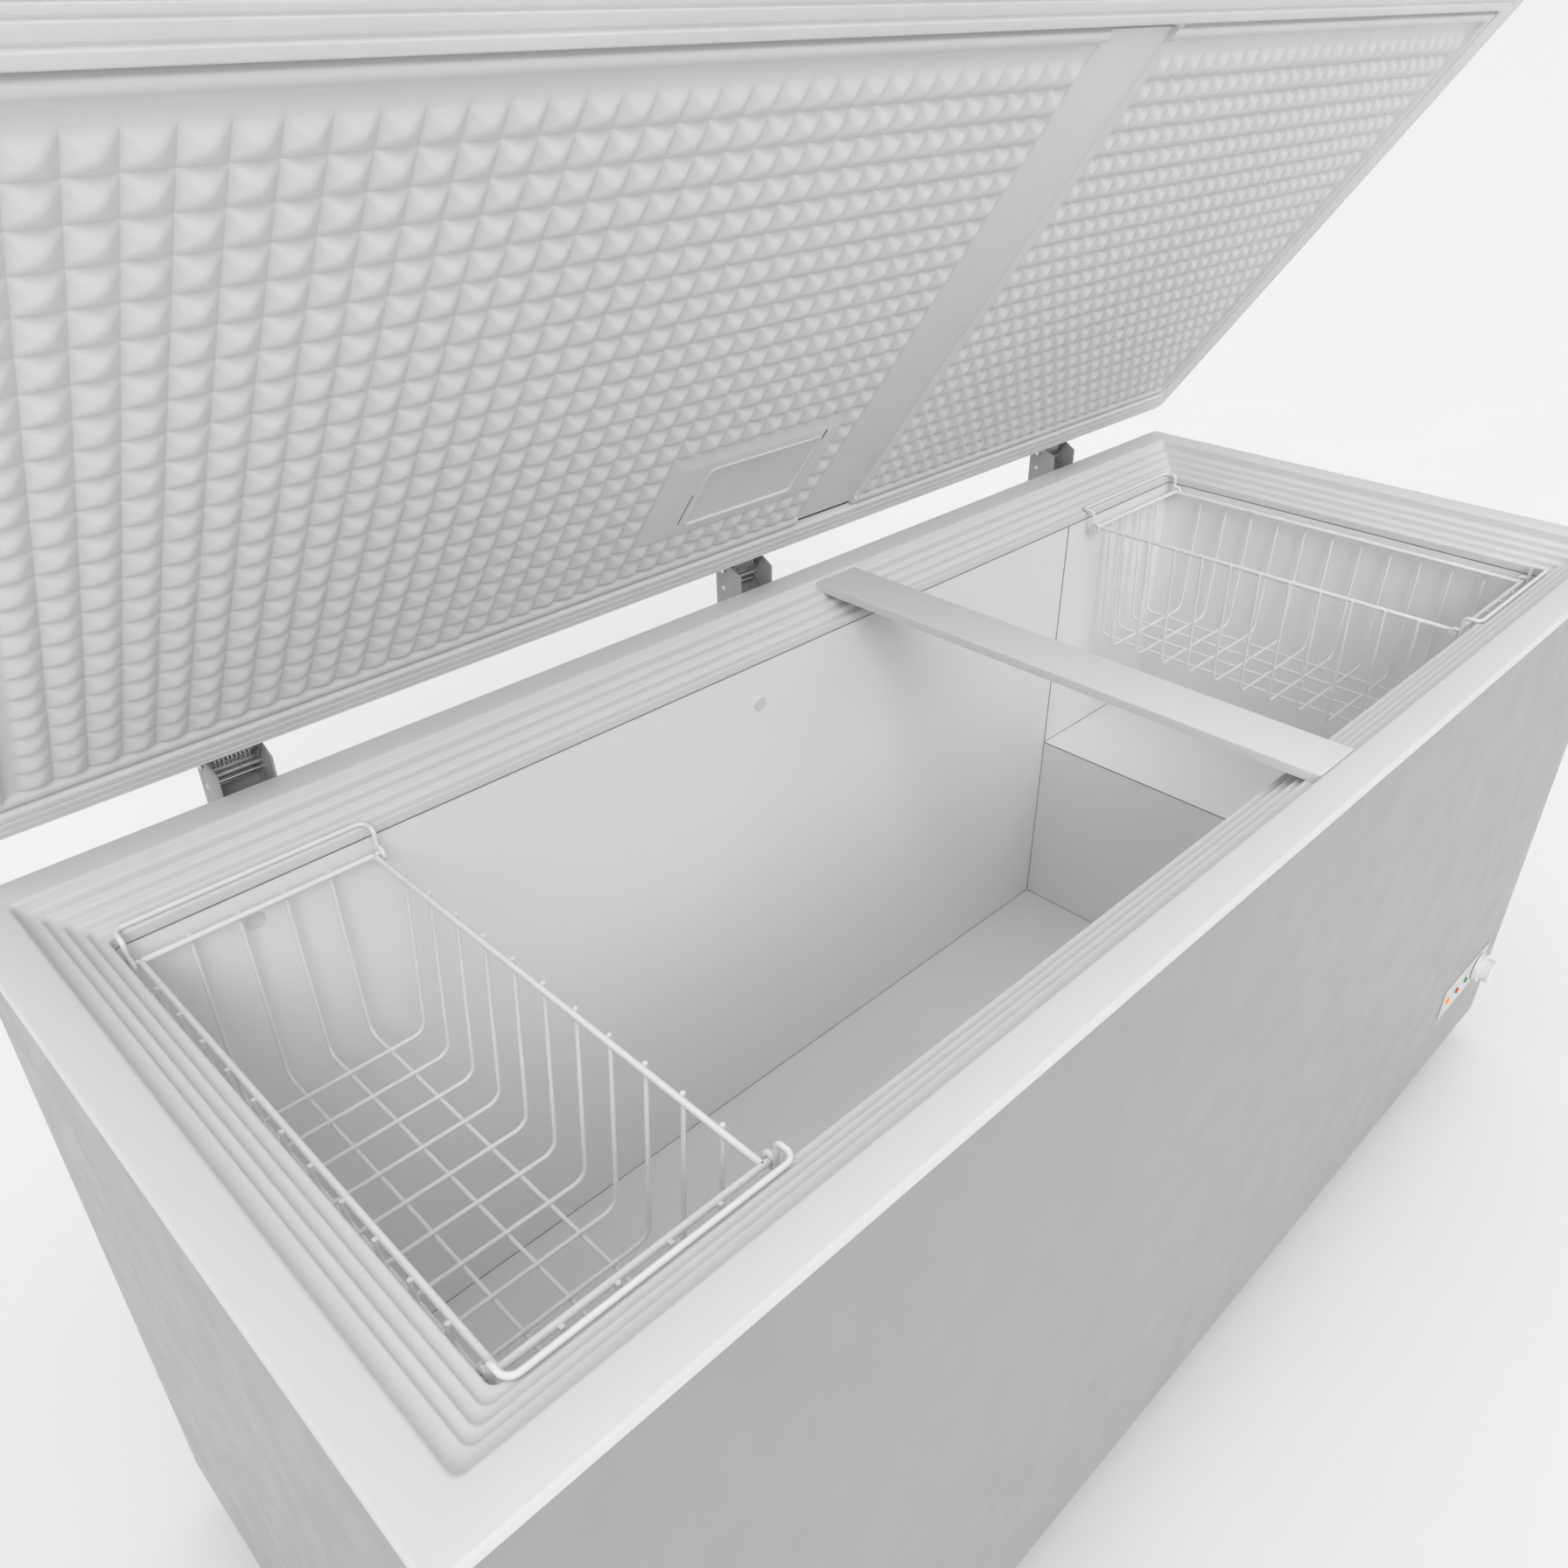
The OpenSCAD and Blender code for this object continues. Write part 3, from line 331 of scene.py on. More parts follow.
def finish(name, light, dark, smooth, rough, scale=2.5, grain=700, depth=0.02, wave=5, sway=0.3,
           stretch=(1, 1, 1), metallic=0, coat=0, emission=0):
    # a material whose tone, gloss and relief come from the two shared groups; depths in millimetres
    material = bpy.data.materials.new(name)
    material.use_nodes = True
    tree = material.node_tree
    shader = tree.nodes["Principled BSDF"]
    place, squeeze = tree.nodes.new("ShaderNodeTexCoord"), tree.nodes.new("ShaderNodeMapping")
    tone, relief = tree.nodes.new("ShaderNodeGroup"), tree.nodes.new("ShaderNodeGroup")
    tone.node_tree, relief.node_tree = driftGroup, skinGroup
    squeeze.inputs["Scale"].default_value = stretch
    tree.links.new(place.outputs["Object"], squeeze.inputs["Vector"])
    for group in (tone, relief):
        tree.links.new(squeeze.outputs["Vector"], group.inputs["Vector"])
    tone.inputs["Scale"].default_value = scale
    tone.inputs["Light"].default_value = (*light, 1)
    tone.inputs["Dark"].default_value = (*dark, 1)
    tone.inputs["Smooth"].default_value = smooth
    tone.inputs["Rough"].default_value = rough
    relief.inputs["Grain"].default_value = grain
    relief.inputs["Depth"].default_value = depth * mm
    relief.inputs["Wave"].default_value = wave
    relief.inputs["Sway"].default_value = sway * mm
    tree.links.new(tone.outputs["Color"], shader.inputs["Base Color"])
    tree.links.new(tone.outputs["Roughness"], shader.inputs["Roughness"])
    tree.links.new(relief.outputs["Normal"], shader.inputs["Normal"])
    shader.inputs["Metallic"].default_value = metallic
    shader.inputs["Coat Weight"].default_value = coat
    if emission:
        tree.links.new(tone.outputs["Color"], shader.inputs["Emission Color"])
        shader.inputs["Emission Strength"].default_value = emission
    return material


def grey(value):
    return (value, value, value)


# white paint kept at a grey 0.40, darker than the rim: partly the steel's greyer paint, partly painted shade
# for the dimmer light on the cabinet's front and sides
whitePaint = finish("whitePaint", grey(0.40), grey(0.385), 0.28, 0.38, grain=420, depth=0.003, sway=0.1)
rimPlastic = finish("rimPlastic", grey(0.80), grey(0.775), 0.38, 0.5, grain=900, depth=0.004, sway=0.06)
# the liner's tone drift is stretched upright into faint vertical bands: partly the paint's own uneven tone,
# partly painted reflection of the soft bands the glossy walls mirror
linerPaint = finish("linerPaint", grey(0.955), grey(0.935), 0.3, 0.42, scale=1.6, grain=240, depth=0.005,
                    wave=3.5, sway=1.0, stretch=(1, 1, 0.35))
lidPlastic = finish("lidPlastic", grey(0.76), grey(0.735), 0.36, 0.48, grain=800, depth=0.004, sway=0.05)
gasketRubber = finish("gasketRubber", grey(0.80), grey(0.76), 0.55, 0.7, scale=12, grain=1500, depth=0.01)
wireCoat = finish("wireCoat", grey(0.93), grey(0.90), 0.28, 0.4, scale=30, grain=300, depth=0.05, sway=0)
galvanised = finish("galvanised", grey(0.55), grey(0.42), 0.3, 0.5, scale=40, grain=160, depth=0.02,
                    sway=0, metallic=0.9)
springSteel = finish("springSteel", grey(0.86), grey(0.68), 0.16, 0.3, scale=60, grain=900, metallic=0.75)
zincPlate = finish("zincPlate", grey(0.72), grey(0.6), 0.15, 0.3, scale=80, grain=900, metallic=1)
foamSkin = finish("foamSkin", (0.78, 0.68, 0.42), (0.66, 0.55, 0.3), 0.8, 0.95, scale=8, grain=140, depth=0.6)
copperTube = finish("copperTube", (0.72, 0.38, 0.24), (0.42, 0.2, 0.12), 0.22, 0.45, scale=25, metallic=1)
coilPaint = finish("coilPaint", grey(0.05), grey(0.03), 0.35, 0.5, scale=20)
shellEnamel = finish("shellEnamel", grey(0.03), grey(0.018), 0.16, 0.3, scale=6, grain=260, depth=0.05,
                     coat=0.6)
blackRubber = finish("blackRubber", grey(0.035), grey(0.02), 0.6, 0.8, scale=25, grain=700, depth=0.04)
blackPlastic = finish("blackPlastic", grey(0.045), grey(0.03), 0.45, 0.6, scale=10, grain=1100, depth=0.03)
greyPlastic = finish("greyPlastic", grey(0.70), grey(0.66), 0.4, 0.52, scale=10, grain=900, depth=0.015)
knobPlastic = finish("knobPlastic", grey(0.86), grey(0.83), 0.2, 0.3, scale=20, grain=900, depth=0.008,
                     coat=0.3)
frostedLens = finish("frostedLens", grey(0.74), grey(0.69), 0.3, 0.42, scale=9, grain=350, depth=0.05)
sealant = finish("sealant", grey(0.34), grey(0.28), 0.5, 0.65, scale=30, grain=500, depth=0.02)
# near-black painted shade, laid on thin blocks where a gap or slit shows only shadow
gapShadePaint = finish("gapShadePaint", grey(0.03), grey(0.02), 0.8, 0.95, scale=20)
lensGreen = finish("lensGreen", (0.05, 0.45, 0.12), (0.03, 0.3, 0.08), 0.12, 0.22, scale=60, coat=0.5)
lensRed = finish("lensRed", (0.62, 0.05, 0.03), (0.45, 0.03, 0.02), 0.12, 0.22, scale=60, coat=0.5)
lensOrange = finish("lensOrange", (0.95, 0.28, 0.03), (0.8, 0.2, 0.02), 0.12, 0.22, scale=60, coat=0.5,
                    emission=0.6)
print("finishes made")

# what each CAD node wears where it is still seen
carried = {
    "front_panel": whitePaint, "left_end_panel": whitePaint, "right_end_panel": whitePaint,
    "back_panel": galvanised, "base_plate": galvanised, "bay_panel": galvanised,
    "cabinet_foam": foamSkin, "lid_foam": foamSkin, "inner_liner": linerPaint,
    "evaporator_coil": copperTube, "condenser_coil": coilPaint, "compressor": shellEnamel,
    "compressor_feet": coilPaint, "compressor_grommets": blackRubber, "compressor_bolts": zincPlate,
    "relay_cover": blackPlastic, "filter_drier": copperTube, "refrigerant_pipes": copperTube,
    "side_grille": blackPlastic, "grille_screws": zincPlate, "control_plate": greyPlastic,
    "thermostat_body": knobPlastic, "thermostat_knob": knobPlastic, "green_lamp": lensGreen,
    "red_lamp": lensRed, "orange_lamp": lensOrange, "cord_gland": blackRubber,
    "drain_tube": greyPlastic, "drain_plug": knobPlastic, "drain_cap": knobPlastic,
    "levelling_feet": blackPlastic, "roller_brackets": galvanised, "roller_wheel_front": blackRubber,
    "roller_wheel_back": blackRubber, "roller_axles": zincPlate, "hinge_brackets": whitePaint,
    "hinge_pins": zincPlate, "hinge_springs": springSteel, "hinge_leaves": galvanised,
    "rim_front": rimPlastic, "rim_back": rimPlastic, "rim_left": rimPlastic, "rim_right": rimPlastic,
    "crossbar": rimPlastic, "liner_plugs": rimPlastic, "lid_skin": whitePaint,
    "lid_liner_left": lidPlastic, "lid_liner_right": lidPlastic, "lid_joint_strip": lidPlastic,
    "lid_gasket": gasketRubber, "lamp_housing": lidPlastic, "lamp_lens": frostedLens,
    "lid_handle": knobPlastic, "basket_left": wireCoat, "basket_right": wireCoat,
}
for name, node in nodes.items():
    node.data.materials.clear()
    node.data.materials.append(carried.get(name, wireCoat))  # the basket handles are coated wire too

view = {"place": (-1.0118, -0.7184, 1.4891), "heading": 44.483, "down": 31.902, "roll": -0.468,
        "sensor": 36.0, "lens": 29.29, "near": 0.02}
heading, down = radians(view["heading"]), radians(view["down"])
ahead = Vector((sin(heading) * cos(down), cos(heading) * cos(down), -sin(down)))
camera = bpy.data.objects.new("camera", bpy.data.cameras.new("camera"))
camera.data.sensor_width, camera.data.lens = view["sensor"], view["lens"]
camera.data.clip_start = view["near"]
turned = ahead.to_track_quat("-Z", "Y").to_matrix().to_4x4()
camera.matrix_world = (Matrix.Translation(view["place"]) @ turned
                       @ Matrix.Rotation(radians(view["roll"]), 4, "Z"))
bpy.context.scene.collection.objects.link(camera)
bpy.context.scene.camera = camera

# each sun is its name, where it stands, its spread in degrees and its strength
studio = {"sky": 0.45, "floor": 0.97, "floorReach": 300,
          "suns": [("key", (-0.42, -0.72, 0.55), 30, 0.95), ("top", (-0.15, -0.2, 1.0), 100, 1.1)]}
for name, source, spread, strength in studio["suns"]:
    lamp = bpy.data.objects.new(name, bpy.data.lights.new(name, "SUN"))
    lamp.data.angle, lamp.data.energy = radians(spread), strength
    lamp.rotation_euler = (-Vector(source)).to_track_quat("-Z", "Y").to_euler()
    bpy.context.scene.collection.objects.link(lamp)
world = bpy.data.worlds.new("studio")
world.use_nodes = True
world.node_tree.nodes["Background"].inputs["Color"].default_value = (1, 1, 1, 1)
world.node_tree.nodes["Background"].inputs["Strength"].default_value = studio["sky"]
bpy.context.scene.world = world
bpy.context.scene.view_settings.view_transform = "Standard"

floorMesh = bmesh.new()
bmesh.ops.create_grid(floorMesh, x_segments=4, y_segments=4, size=studio["floorReach"])
floorData = bpy.data.meshes.new("floor")
floorMesh.to_mesh(floorData)
floorMesh.free()
floor = bpy.data.objects.new("floor", floorData)
floorData.materials.append(finish("floorPaint", grey(studio["floor"]), grey(studio["floor"] - 0.01), 0.7, 0.8,
                                  grain=300, depth=0.02))
bpy.context.scene.collection.objects.link(floor)
print("camera, lights and floor set")

# the rim in millimetres: where each step goes down, and how deep it is by then
rimPiece = {"insets": [38, 53.5, 64.5, 76], "depths": [12.95, 19.95, 28, 35], "lean": 1.6, "width": 88,
            "innerDepth": 46, "outerDepth": 10, "sheet": 3, "seam": 120, "corner": 7, "cornerSteps": 4,
            "edgeRound": 2.5, "shoulderRound": 4.2, "stepRound": 2.6}


def rimProfile():
    # the face steps down towards the opening, and the back follows it one sheet below
    thick, width, last = rimPiece["sheet"], rimPiece["width"], 0
    face, radii = [(0, -rimPiece["outerDepth"]), (0, 0)], [0, rimPiece["edgeRound"]]
    under = [(thick, -rimPiece["outerDepth"]), (thick, -thick)]
    for inset, depth in zip(rimPiece["insets"], rimPiece["depths"]):
        face += [(inset, -last), (inset + rimPiece["lean"], -depth)]
        under += [(inset - thick, -last - thick), (inset - thick, -depth - thick)]
        radii += [rimPiece["stepRound"] if last else rimPiece["shoulderRound"], rimPiece["stepRound"]]
        last = depth
    face += [(width, -last), (width, -rimPiece["innerDepth"])]
    under += [(width - thick, -last - thick), (width - thick, -rimPiece["innerDepth"])]
    radii += [rimPiece["edgeRound"], 0]
    return aboveRim(rounded([(w, z, 0) for w, z in face], radii, 4)) + aboveRim(under[::-1])


def seamStation(signX, signY):
    y = midY + signY * (halfD - rimPiece["seam"] * mm)
    return lambda w: (signX * (halfL - w), y)


def rimMoulding(side, stations):
    bm = bmesh.new()
    sweep(bm, rimProfile(), stations, False)
    makePiece(bm, "rim_moulding_" + side, "cabinet", rimPlastic, ["rim_" + side], crease=40)


cornerSize = (rimPiece["corner"] * mm, rimPiece["cornerSteps"])
for side, signY in (("front", -1), ("back", 1)):
    rimMoulding(side, [seamStation(-1, signY)] + cornerStations(-1, signY, *cornerSize, True)
                + cornerStations(1, signY, *cornerSize, False) + [seamStation(1, signY)])
for side, signX in (("left", -1), ("right", 1)):
    rimMoulding(side, [seamStation(signX, -1), seamStation(signX, 1)])
print("rim made")

# thin sealed joints where the liner's sheets meet each other and the rim
jointPiece = {"wall": 88.0, "step": 278.0, "stepDrop": 415.0, "skirt": 46.5, "radius": 0.9, "sheet": 1}
endX, sideY = halfL - jointPiece["wall"] * mm, halfD - jointPiece["wall"] * mm
stepX, stepZ = endX - jointPiece["step"] * mm, rimTop - jointPiece["stepDrop"] * mm
skirtZ = rimTop - jointPiece["skirt"] * mm
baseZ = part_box("inner_liner")[0].z + jointPiece["sheet"] * mm
rearFace, frontFace = midY + sideY, midY - sideY
paths = []
for fromX, toX, z in ((-endX, endX, skirtZ), (-endX, stepX, baseZ), (stepX, endX, stepZ)):
    corners = [(fromX, rearFace, z), (toX, rearFace, z), (toX, frontFace, z), (fromX, frontFace, z)]
    paths.append((corners, jointPiece["radius"] * mm, True))
for y in (rearFace, frontFace):
    paths.append(([(stepX, y, skirtZ), (stepX, y, baseZ)], jointPiece["radius"] * mm, False))
wirePiece("liner_joints", "cabinet", paths, sealant, sides=6)
print("liner joints made")

# a channel, open below, across the opening
crossbarPiece = {"edge": 2.2, "wall": 2.5}
low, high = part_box("crossbar")
bm = bmesh.new()
block(bm, high - low, (high + low) / 2)
bmesh.ops.delete(bm, geom=[f for f in bm.faces if f.normal.z < -0.9], context="FACES")
bmesh.ops.bevel(bm, geom=[e for e in bm.edges if len(e.link_faces) == 2], offset=crossbarPiece["edge"] * mm,
                segments=4, affect="EDGES", profile=0.5, material=-1)
bmesh.ops.recalc_face_normals(bm, faces=bm.faces)
if max(bm.faces, key=lambda f: f.calc_area()).normal.z < 0:
    bmesh.ops.reverse_faces(bm, faces=bm.faces)
bmesh.ops.solidify(bm, geom=bm.faces, thickness=crossbarPiece["wall"] * mm)
makePiece(bm, "crossbar_channel", "cabinet", rimPlastic, ["crossbar"], crease=40, recalc=False)

# the lid in millimetres: x runs along it, v in from its rear edge, heights are above the rim when it is shut
lid = {
    "flange": 12.5, "ridgeHigh": 3.0, "ridge": (48, 52, 60, 63.5), "pan": 9.2, "apex": 0.8, "blunt": 14,
    "hollow": 1.3, "pitch": 27.2, "fieldLeft": -843.7, "columnsLeft": 32, "columnsRight": 26,
    "fieldRight": 843.7, "rowsFrom": 62.5, "rows": 22, "cells": 6, "stripLeft": 36.0, "stripRight": 138.0,
    "skirt": 0.3, "stripGap": 2.5, "frameColumns": (22, 31), "frameRows": (2, 7), "frameInset": 14,
    "window": (-181.0, -24.0, 137.0, 223.0), "ridgeLines": [46, 48, 49, 50, 51, 52, 56, 60, 61, 62],
    "lip": ((0, 9.0), (1.2, 8.4), (5.2, 3.6), (6.6, 3.6), (8, 9.2)), "lipFade": (46, 52),
}
rearY = midY + halfD
frontV, endU = 2 * halfD / mm, halfL / mm


def smoothStep(value, start, end):
    t = clamp((value - start) / (end - start), 0, 1)
    return t * t * (3 - 2 * t)


def borderHeight(inside):
    # flange, then the raised ridge, then the pan, by distance in from the lid's edge
    a, b, c, d = lid["ridge"]
    level = lid["flange"] + (lid["ridgeHigh"] - lid["flange"]) * smoothStep(inside, a, b)
    return level + (lid["pan"] - lid["ridgeHigh"]) * smoothStep(inside, c, d)


def pyramidHeight(u, w):
    # u and w run from -1 to 1 across one pyramid
    blunt = lid["blunt"]
    reach = (abs(u) ** blunt + abs(w) ** blunt) ** (1 / blunt)
    return lid["pan"] + (lid["apex"] - lid["pan"]) * (1 - min(reach, 1) ** lid["hollow"])


def lipHeight(x):
    # the raised edge of the right panel beside the joint strip
    for (start, rise), (end, fall) in zip(lid["lip"], lid["lip"][1:]):
        if start <= x <= end:
            return rise + (fall - rise) * (x - start) / (end - start)
    return lid["pan"]


def gridLines(start, pitch, count):
    return [start + pitch * i / lid["cells"] for i in range(count * lid["cells"] + 1)]


rowLines = (lid["ridgeLines"] + gridLines(lid["rowsFrom"], lid["pitch"], lid["rows"])
            + [frontV - v for v in reversed(lid["ridgeLines"] + [63.5, 70])])
sideLines = lid["ridgeLines"] + [63.5, 68]
rowsTo = lid["rowsFrom"] + lid["pitch"] * lid["rows"]


def embossed(side, xs, start, end, pitch, frame):
    # one liner panel with pyramids from start to end; frame is the columns and rows left flat for the lamp
    left = side == "left"
    bm = bmesh.new()
    bmesh.ops.create_grid(bm, x_segments=len(xs) - 1, y_segments=len(rowLines) - 1, size=0.5)
    for vert in bm.verts:
        x = xs[round((vert.co.x + 0.5) * (len(xs) - 1))]
        v = rowLines[round((vert.co.y + 0.5) * (len(rowLines) - 1))]
        height = borderHeight(min(v, frontV - v, x + endU if left else endU - x))
        if not left:
            lower = min(height, lipHeight(x - lid["stripRight"]))
            height += (lower - height) * smoothStep(v, *lid["lipFade"])
        if x in (lid["stripLeft"] + lid["skirt"], lid["stripRight"] - lid["skirt"]):
            height = lid["flange"]  # turned up behind the strip
        if start <= x <= end and lid["rowsFrom"] <= v <= rowsTo:
            column, row = (x - start) / pitch, (v - lid["rowsFrom"]) / lid["pitch"]
            height = pyramidHeight(2 * (column % 1) - 1, 2 * (row % 1) - 1)
            if frame and frame[0] <= column + weld and column - weld <= frame[1] \
                    and frame[2] <= row + weld and row - weld <= frame[3]:
                height = lid["pan"]
        vert.co = (x * mm, rearY - v * mm, rimTop + height * mm)
    if frame:
        fromX = start + frame[0] * pitch + lid["frameInset"]
        toX = start + frame[1] * pitch - lid["frameInset"]
        fromV = lid["rowsFrom"] + frame[2] * lid["pitch"] + lid["frameInset"]
        toV = lid["rowsFrom"] + frame[3] * lid["pitch"] - lid["frameInset"]
        middles = {f: f.calc_center_median() for f in bm.faces}
        hole = [f for f, m in middles.items() if fromX < m.x / mm < toX and fromV < (rearY - m.y) / mm < toV]
        bmesh.ops.delete(bm, geom=hole, context="FACES")
    steep = [f for f in bm.faces if start < f.calc_center_median().x / mm < end]
    bmesh.ops.triangulate(bm, faces=steep, quad_method="LONG_EDGE")
    faceDown(bm)
    openLid(bm)
    node = "lid_liner_" + side
    makePiece(bm, node + "_embossed", "lid", lidPlastic, [node], crease=62, recalc=False)


leftPitch = (lid["stripLeft"] - lid["stripGap"] - lid["fieldLeft"]) / lid["columnsLeft"]
embossed("left", [v - endU for v in sideLines] + gridLines(lid["fieldLeft"], leftPitch, lid["columnsLeft"])
         + [lid["stripLeft"], lid["stripLeft"] + lid["skirt"]],
         lid["fieldLeft"], lid["fieldLeft"] + leftPitch * lid["columnsLeft"], leftPitch,
         (*lid["frameColumns"], *lid["frameRows"]))
rightStart = lid["stripRight"] + lid["lip"][-1][0]
rightPitch = (lid["fieldRight"] - rightStart) / lid["columnsRight"]
embossed("right", [lid["stripRight"] - lid["skirt"]]
         + [lid["stripRight"] + along for along, _ in lid["lip"][:-1]]
         + gridLines(rightStart, rightPitch, lid["columnsRight"]) + [endU - v for v in reversed(sideLines)],
         rightStart, lid["fieldRight"], rightPitch, None)
print("lid liners embossed")

# the smooth strip that covers the joint between the two liners
stripPiece = {"level": 8.2, "end": 52.0, "roll": 1.6, "slot": 6.0, "slotDeep": 2, "slotIn": 2}
stripX, stripWide = (lid["stripLeft"] + lid["stripRight"]) / 2 * mm, lid["stripRight"] - lid["stripLeft"]
bm = bmesh.new()
stripThick = lid["flange"] - stripPiece["level"]
block(bm, (stripWide * mm, 2 * halfD - 2 * stripPiece["end"] * mm, stripThick * mm),
      (stripX, midY, rimTop + (lid["flange"] + stripPiece["level"]) / 2 * mm))
shown = [e for e in bm.edges if all(v.co.z < rimTop + (stripPiece["level"] + 1) * mm for v in e.verts)]
bmesh.ops.bevel(bm, geom=shown, offset=stripPiece["roll"] * mm, segments=4, affect="EDGES", profile=0.5,
                material=-1)
# a near-black block in the slot at the strip's rear end: painted shade standing in for the shadow gap there
darken(block(bm, ((stripWide - 2) * mm, stripPiece["slot"] * mm, stripPiece["slotDeep"] * mm),
             (stripX, rearY - (stripPiece["end"] - stripPiece["slotIn"]) * mm,
              rimTop + (lid["flange"] - stripPiece["slotDeep"]) * mm)))
openLid(bm)
makePiece(bm, "lid_strip", "lid", [lidPlastic, gapShadePaint], ["lid_joint_strip"])

# a rubber frame with three grooves; each groove is its place across and its half width
gasketPiece = {"from": 8, "to": 46.5, "face": 0.5, "top": 12.4,
               "grooves": ((12.5, 1.2), (20.5, 1.6), (33.5, 2.4)), "deep": 2.6, "outerCut": 1.5,
               "innerCut": 3, "round": 0.9, "corner": 9}


def gasketProfile():
    near, far, face = gasketPiece["from"], gasketPiece["to"], gasketPiece["face"]
    line = [(near, gasketPiece["top"]), (near, face + gasketPiece["outerCut"]),
            (near + gasketPiece["outerCut"], face)]
    for place, half in gasketPiece["grooves"]:
        line += [(place - half, face), (place, face + gasketPiece["deep"]), (place + half, face)]
    line += [(far - gasketPiece["innerCut"], face), (far, face + gasketPiece["innerCut"]),
             (far, gasketPiece["top"])]
    return aboveRim(rounded([(w, z, 0) for w, z in line], gasketPiece["round"], 3))


bm = bmesh.new()
sweep(bm, gasketProfile(), ringStations(gasketPiece["corner"] * mm, 5), True)
openLid(bm)
makePiece(bm, "lid_gasket_ribbed", "lid", gasketRubber, ["lid_gasket"], crease=50)

# the pressed steel skin: a swept edge whose inner loop is filled to close the top
skinPiece = {"low": 12.0, "high": 62.0, "lip": 9.0, "edge": 5.0, "hem": 1.5, "corner": 9.0, "sheet": 1,
             "side": 1.2, "sweptTo": 30}
low, high, sheet, reach = skinPiece["low"], skinPiece["high"], skinPiece["sheet"], skinPiece["sweptTo"]
bm = bmesh.new()
outer = rounded([(skinPiece["lip"], low, 0), (0, low, 0), (0, high, 0), (reach, high, 0)],
                [0, skinPiece["hem"], skinPiece["edge"], 0], 5)
inner = [(reach, high - sheet), (skinPiece["side"], high - sheet), (skinPiece["side"], low + sheet),
         (skinPiece["lip"], low + sheet)]
sweep(bm, aboveRim(outer) + aboveRim(inner), ringStations(skinPiece["corner"] * mm, 5), True)
bmesh.ops.remove_doubles(bm, verts=bm.verts, dist=weld)
edgeTop = [e for e in bm.edges if all(
    abs(v.co.z - rimTop - high * mm) < weld and abs(v.co.x) < halfL - (reach - 0.1) * mm
    and abs(v.co.y - midY) < halfD - (reach - 0.1) * mm for v in e.verts)]
bmesh.ops.contextual_create(bm, geom=edgeTop)
openLid(bm)
makePiece(bm, "lid_skin_pressed", "lid", whitePaint, ["lid_skin"], crease=40)
print("lid skin, strip and gasket made")

# the insulation behind the liners, held clear of the embossed pan and of the skin's rolled edges
foamPiece = {"low": 15.0, "high": 57.0, "inset": 5.0}
reachX, reachY = halfL - foamPiece["inset"] * mm, halfD - foamPiece["inset"] * mm
bm = bmesh.new()
bm.from_mesh(nodes["lid_foam"].data)
bmesh.ops.remove_doubles(bm, verts=bm.verts, dist=weld)
bmesh.ops.rotate(bm, cent=lidPin, matrix=Matrix.Rotation(lidAngle, 3, "X"), verts=bm.verts)
for vert in bm.verts:
    vert.co.x = clamp(vert.co.x, -reachX, reachX)
    vert.co.y = clamp(vert.co.y, midY - reachY, midY + reachY)
    vert.co.z = clamp(vert.co.z, rimTop + foamPiece["low"] * mm, rimTop + foamPiece["high"] * mm)
bmesh.ops.dissolve_degenerate(bm, edges=bm.edges, dist=0.0001)
openLid(bm)
makePiece(bm, "lid_foam_core", "lid", foamSkin, ["lid_foam"], recalc=False)

# frame loops: insets from the frame's left, right, rear and front, a corner radius and a height
# window loops: distance outside the window, a corner radius and a height
# slits: x and v from the window's rear right corner, width and length; each is a thin near-black block,
# painted shade standing in for the shadow inside a slit
lampPiece = {
    "frame": [((0.5, 0.5, 0.5, 0.5), 3, 9.5), ((1.5, 1.5, 1.5, 1.5), 3, 8.2), ((17, 5, 4, 15), 4, 4.5),
              ((18.5, 6.5, 5.5, 16.5), 4, 4.2)],
    "window": [(3.6, 8, 4.2), (2.4, 7, 3.1), (0.7, 6, 3.1), (0, 6, 3.9), (-1.2, 6, 6.2)],
    "slits": [(3.6, 4, 1.6, 93), (-167, 4, 1.0, 48)], "face": 4.2, "lens": 5.6, "dish": 4, "glass": 1.5,
}
winLeft, winRight, winRear, winFront = lid["window"]
frameX = [lid["fieldLeft"] + column * leftPitch for column in lid["frameColumns"]]
frameV = [lid["rowsFrom"] + row * lid["pitch"] for row in lid["frameRows"]]


def roundLoop(left, right, rear, front, radius, height):
    corners = [(left, rear, 0), (right, rear, 0), (right, front, 0), (left, front, 0)]
    loop = rounded(corners, radius, 5, closed=True)
    return [(c.x * mm, rearY - c.y * mm, rimTop + height * mm) for c in loop]


loops = [roundLoop(frameX[0] + a, frameX[1] - b, frameV[0] + c, frameV[1] - d, radius, height)
         for (a, b, c, d), radius, height in lampPiece["frame"]]
loops += [roundLoop(winLeft - out, winRight + out, winRear - out, winFront + out, radius, height)
          for out, radius, height in lampPiece["window"]]
bm = bmesh.new()
verts, edges = startLoop(bm, loops[0])
for places in loops[1:]:
    verts, edges = carry(bm, verts, edges, places)
faceDown(bm)
# the slits are painted shade: thin near-black blocks on the face, not openings
for aside, start, wide, long in lampPiece["slits"]:
    darken(block(bm, (wide * mm, long * mm, 0.6 * mm),
                 ((winRight + aside) * mm, rearY - (winRear + start + long / 2) * mm,
                  rimTop + (lampPiece["face"] + 0.1) * mm)))
openLid(bm)
makePiece(bm, "lamp_surround", "lid", [lidPlastic, gapShadePaint], ["lamp_housing"], crease=20,
          recalc=False)

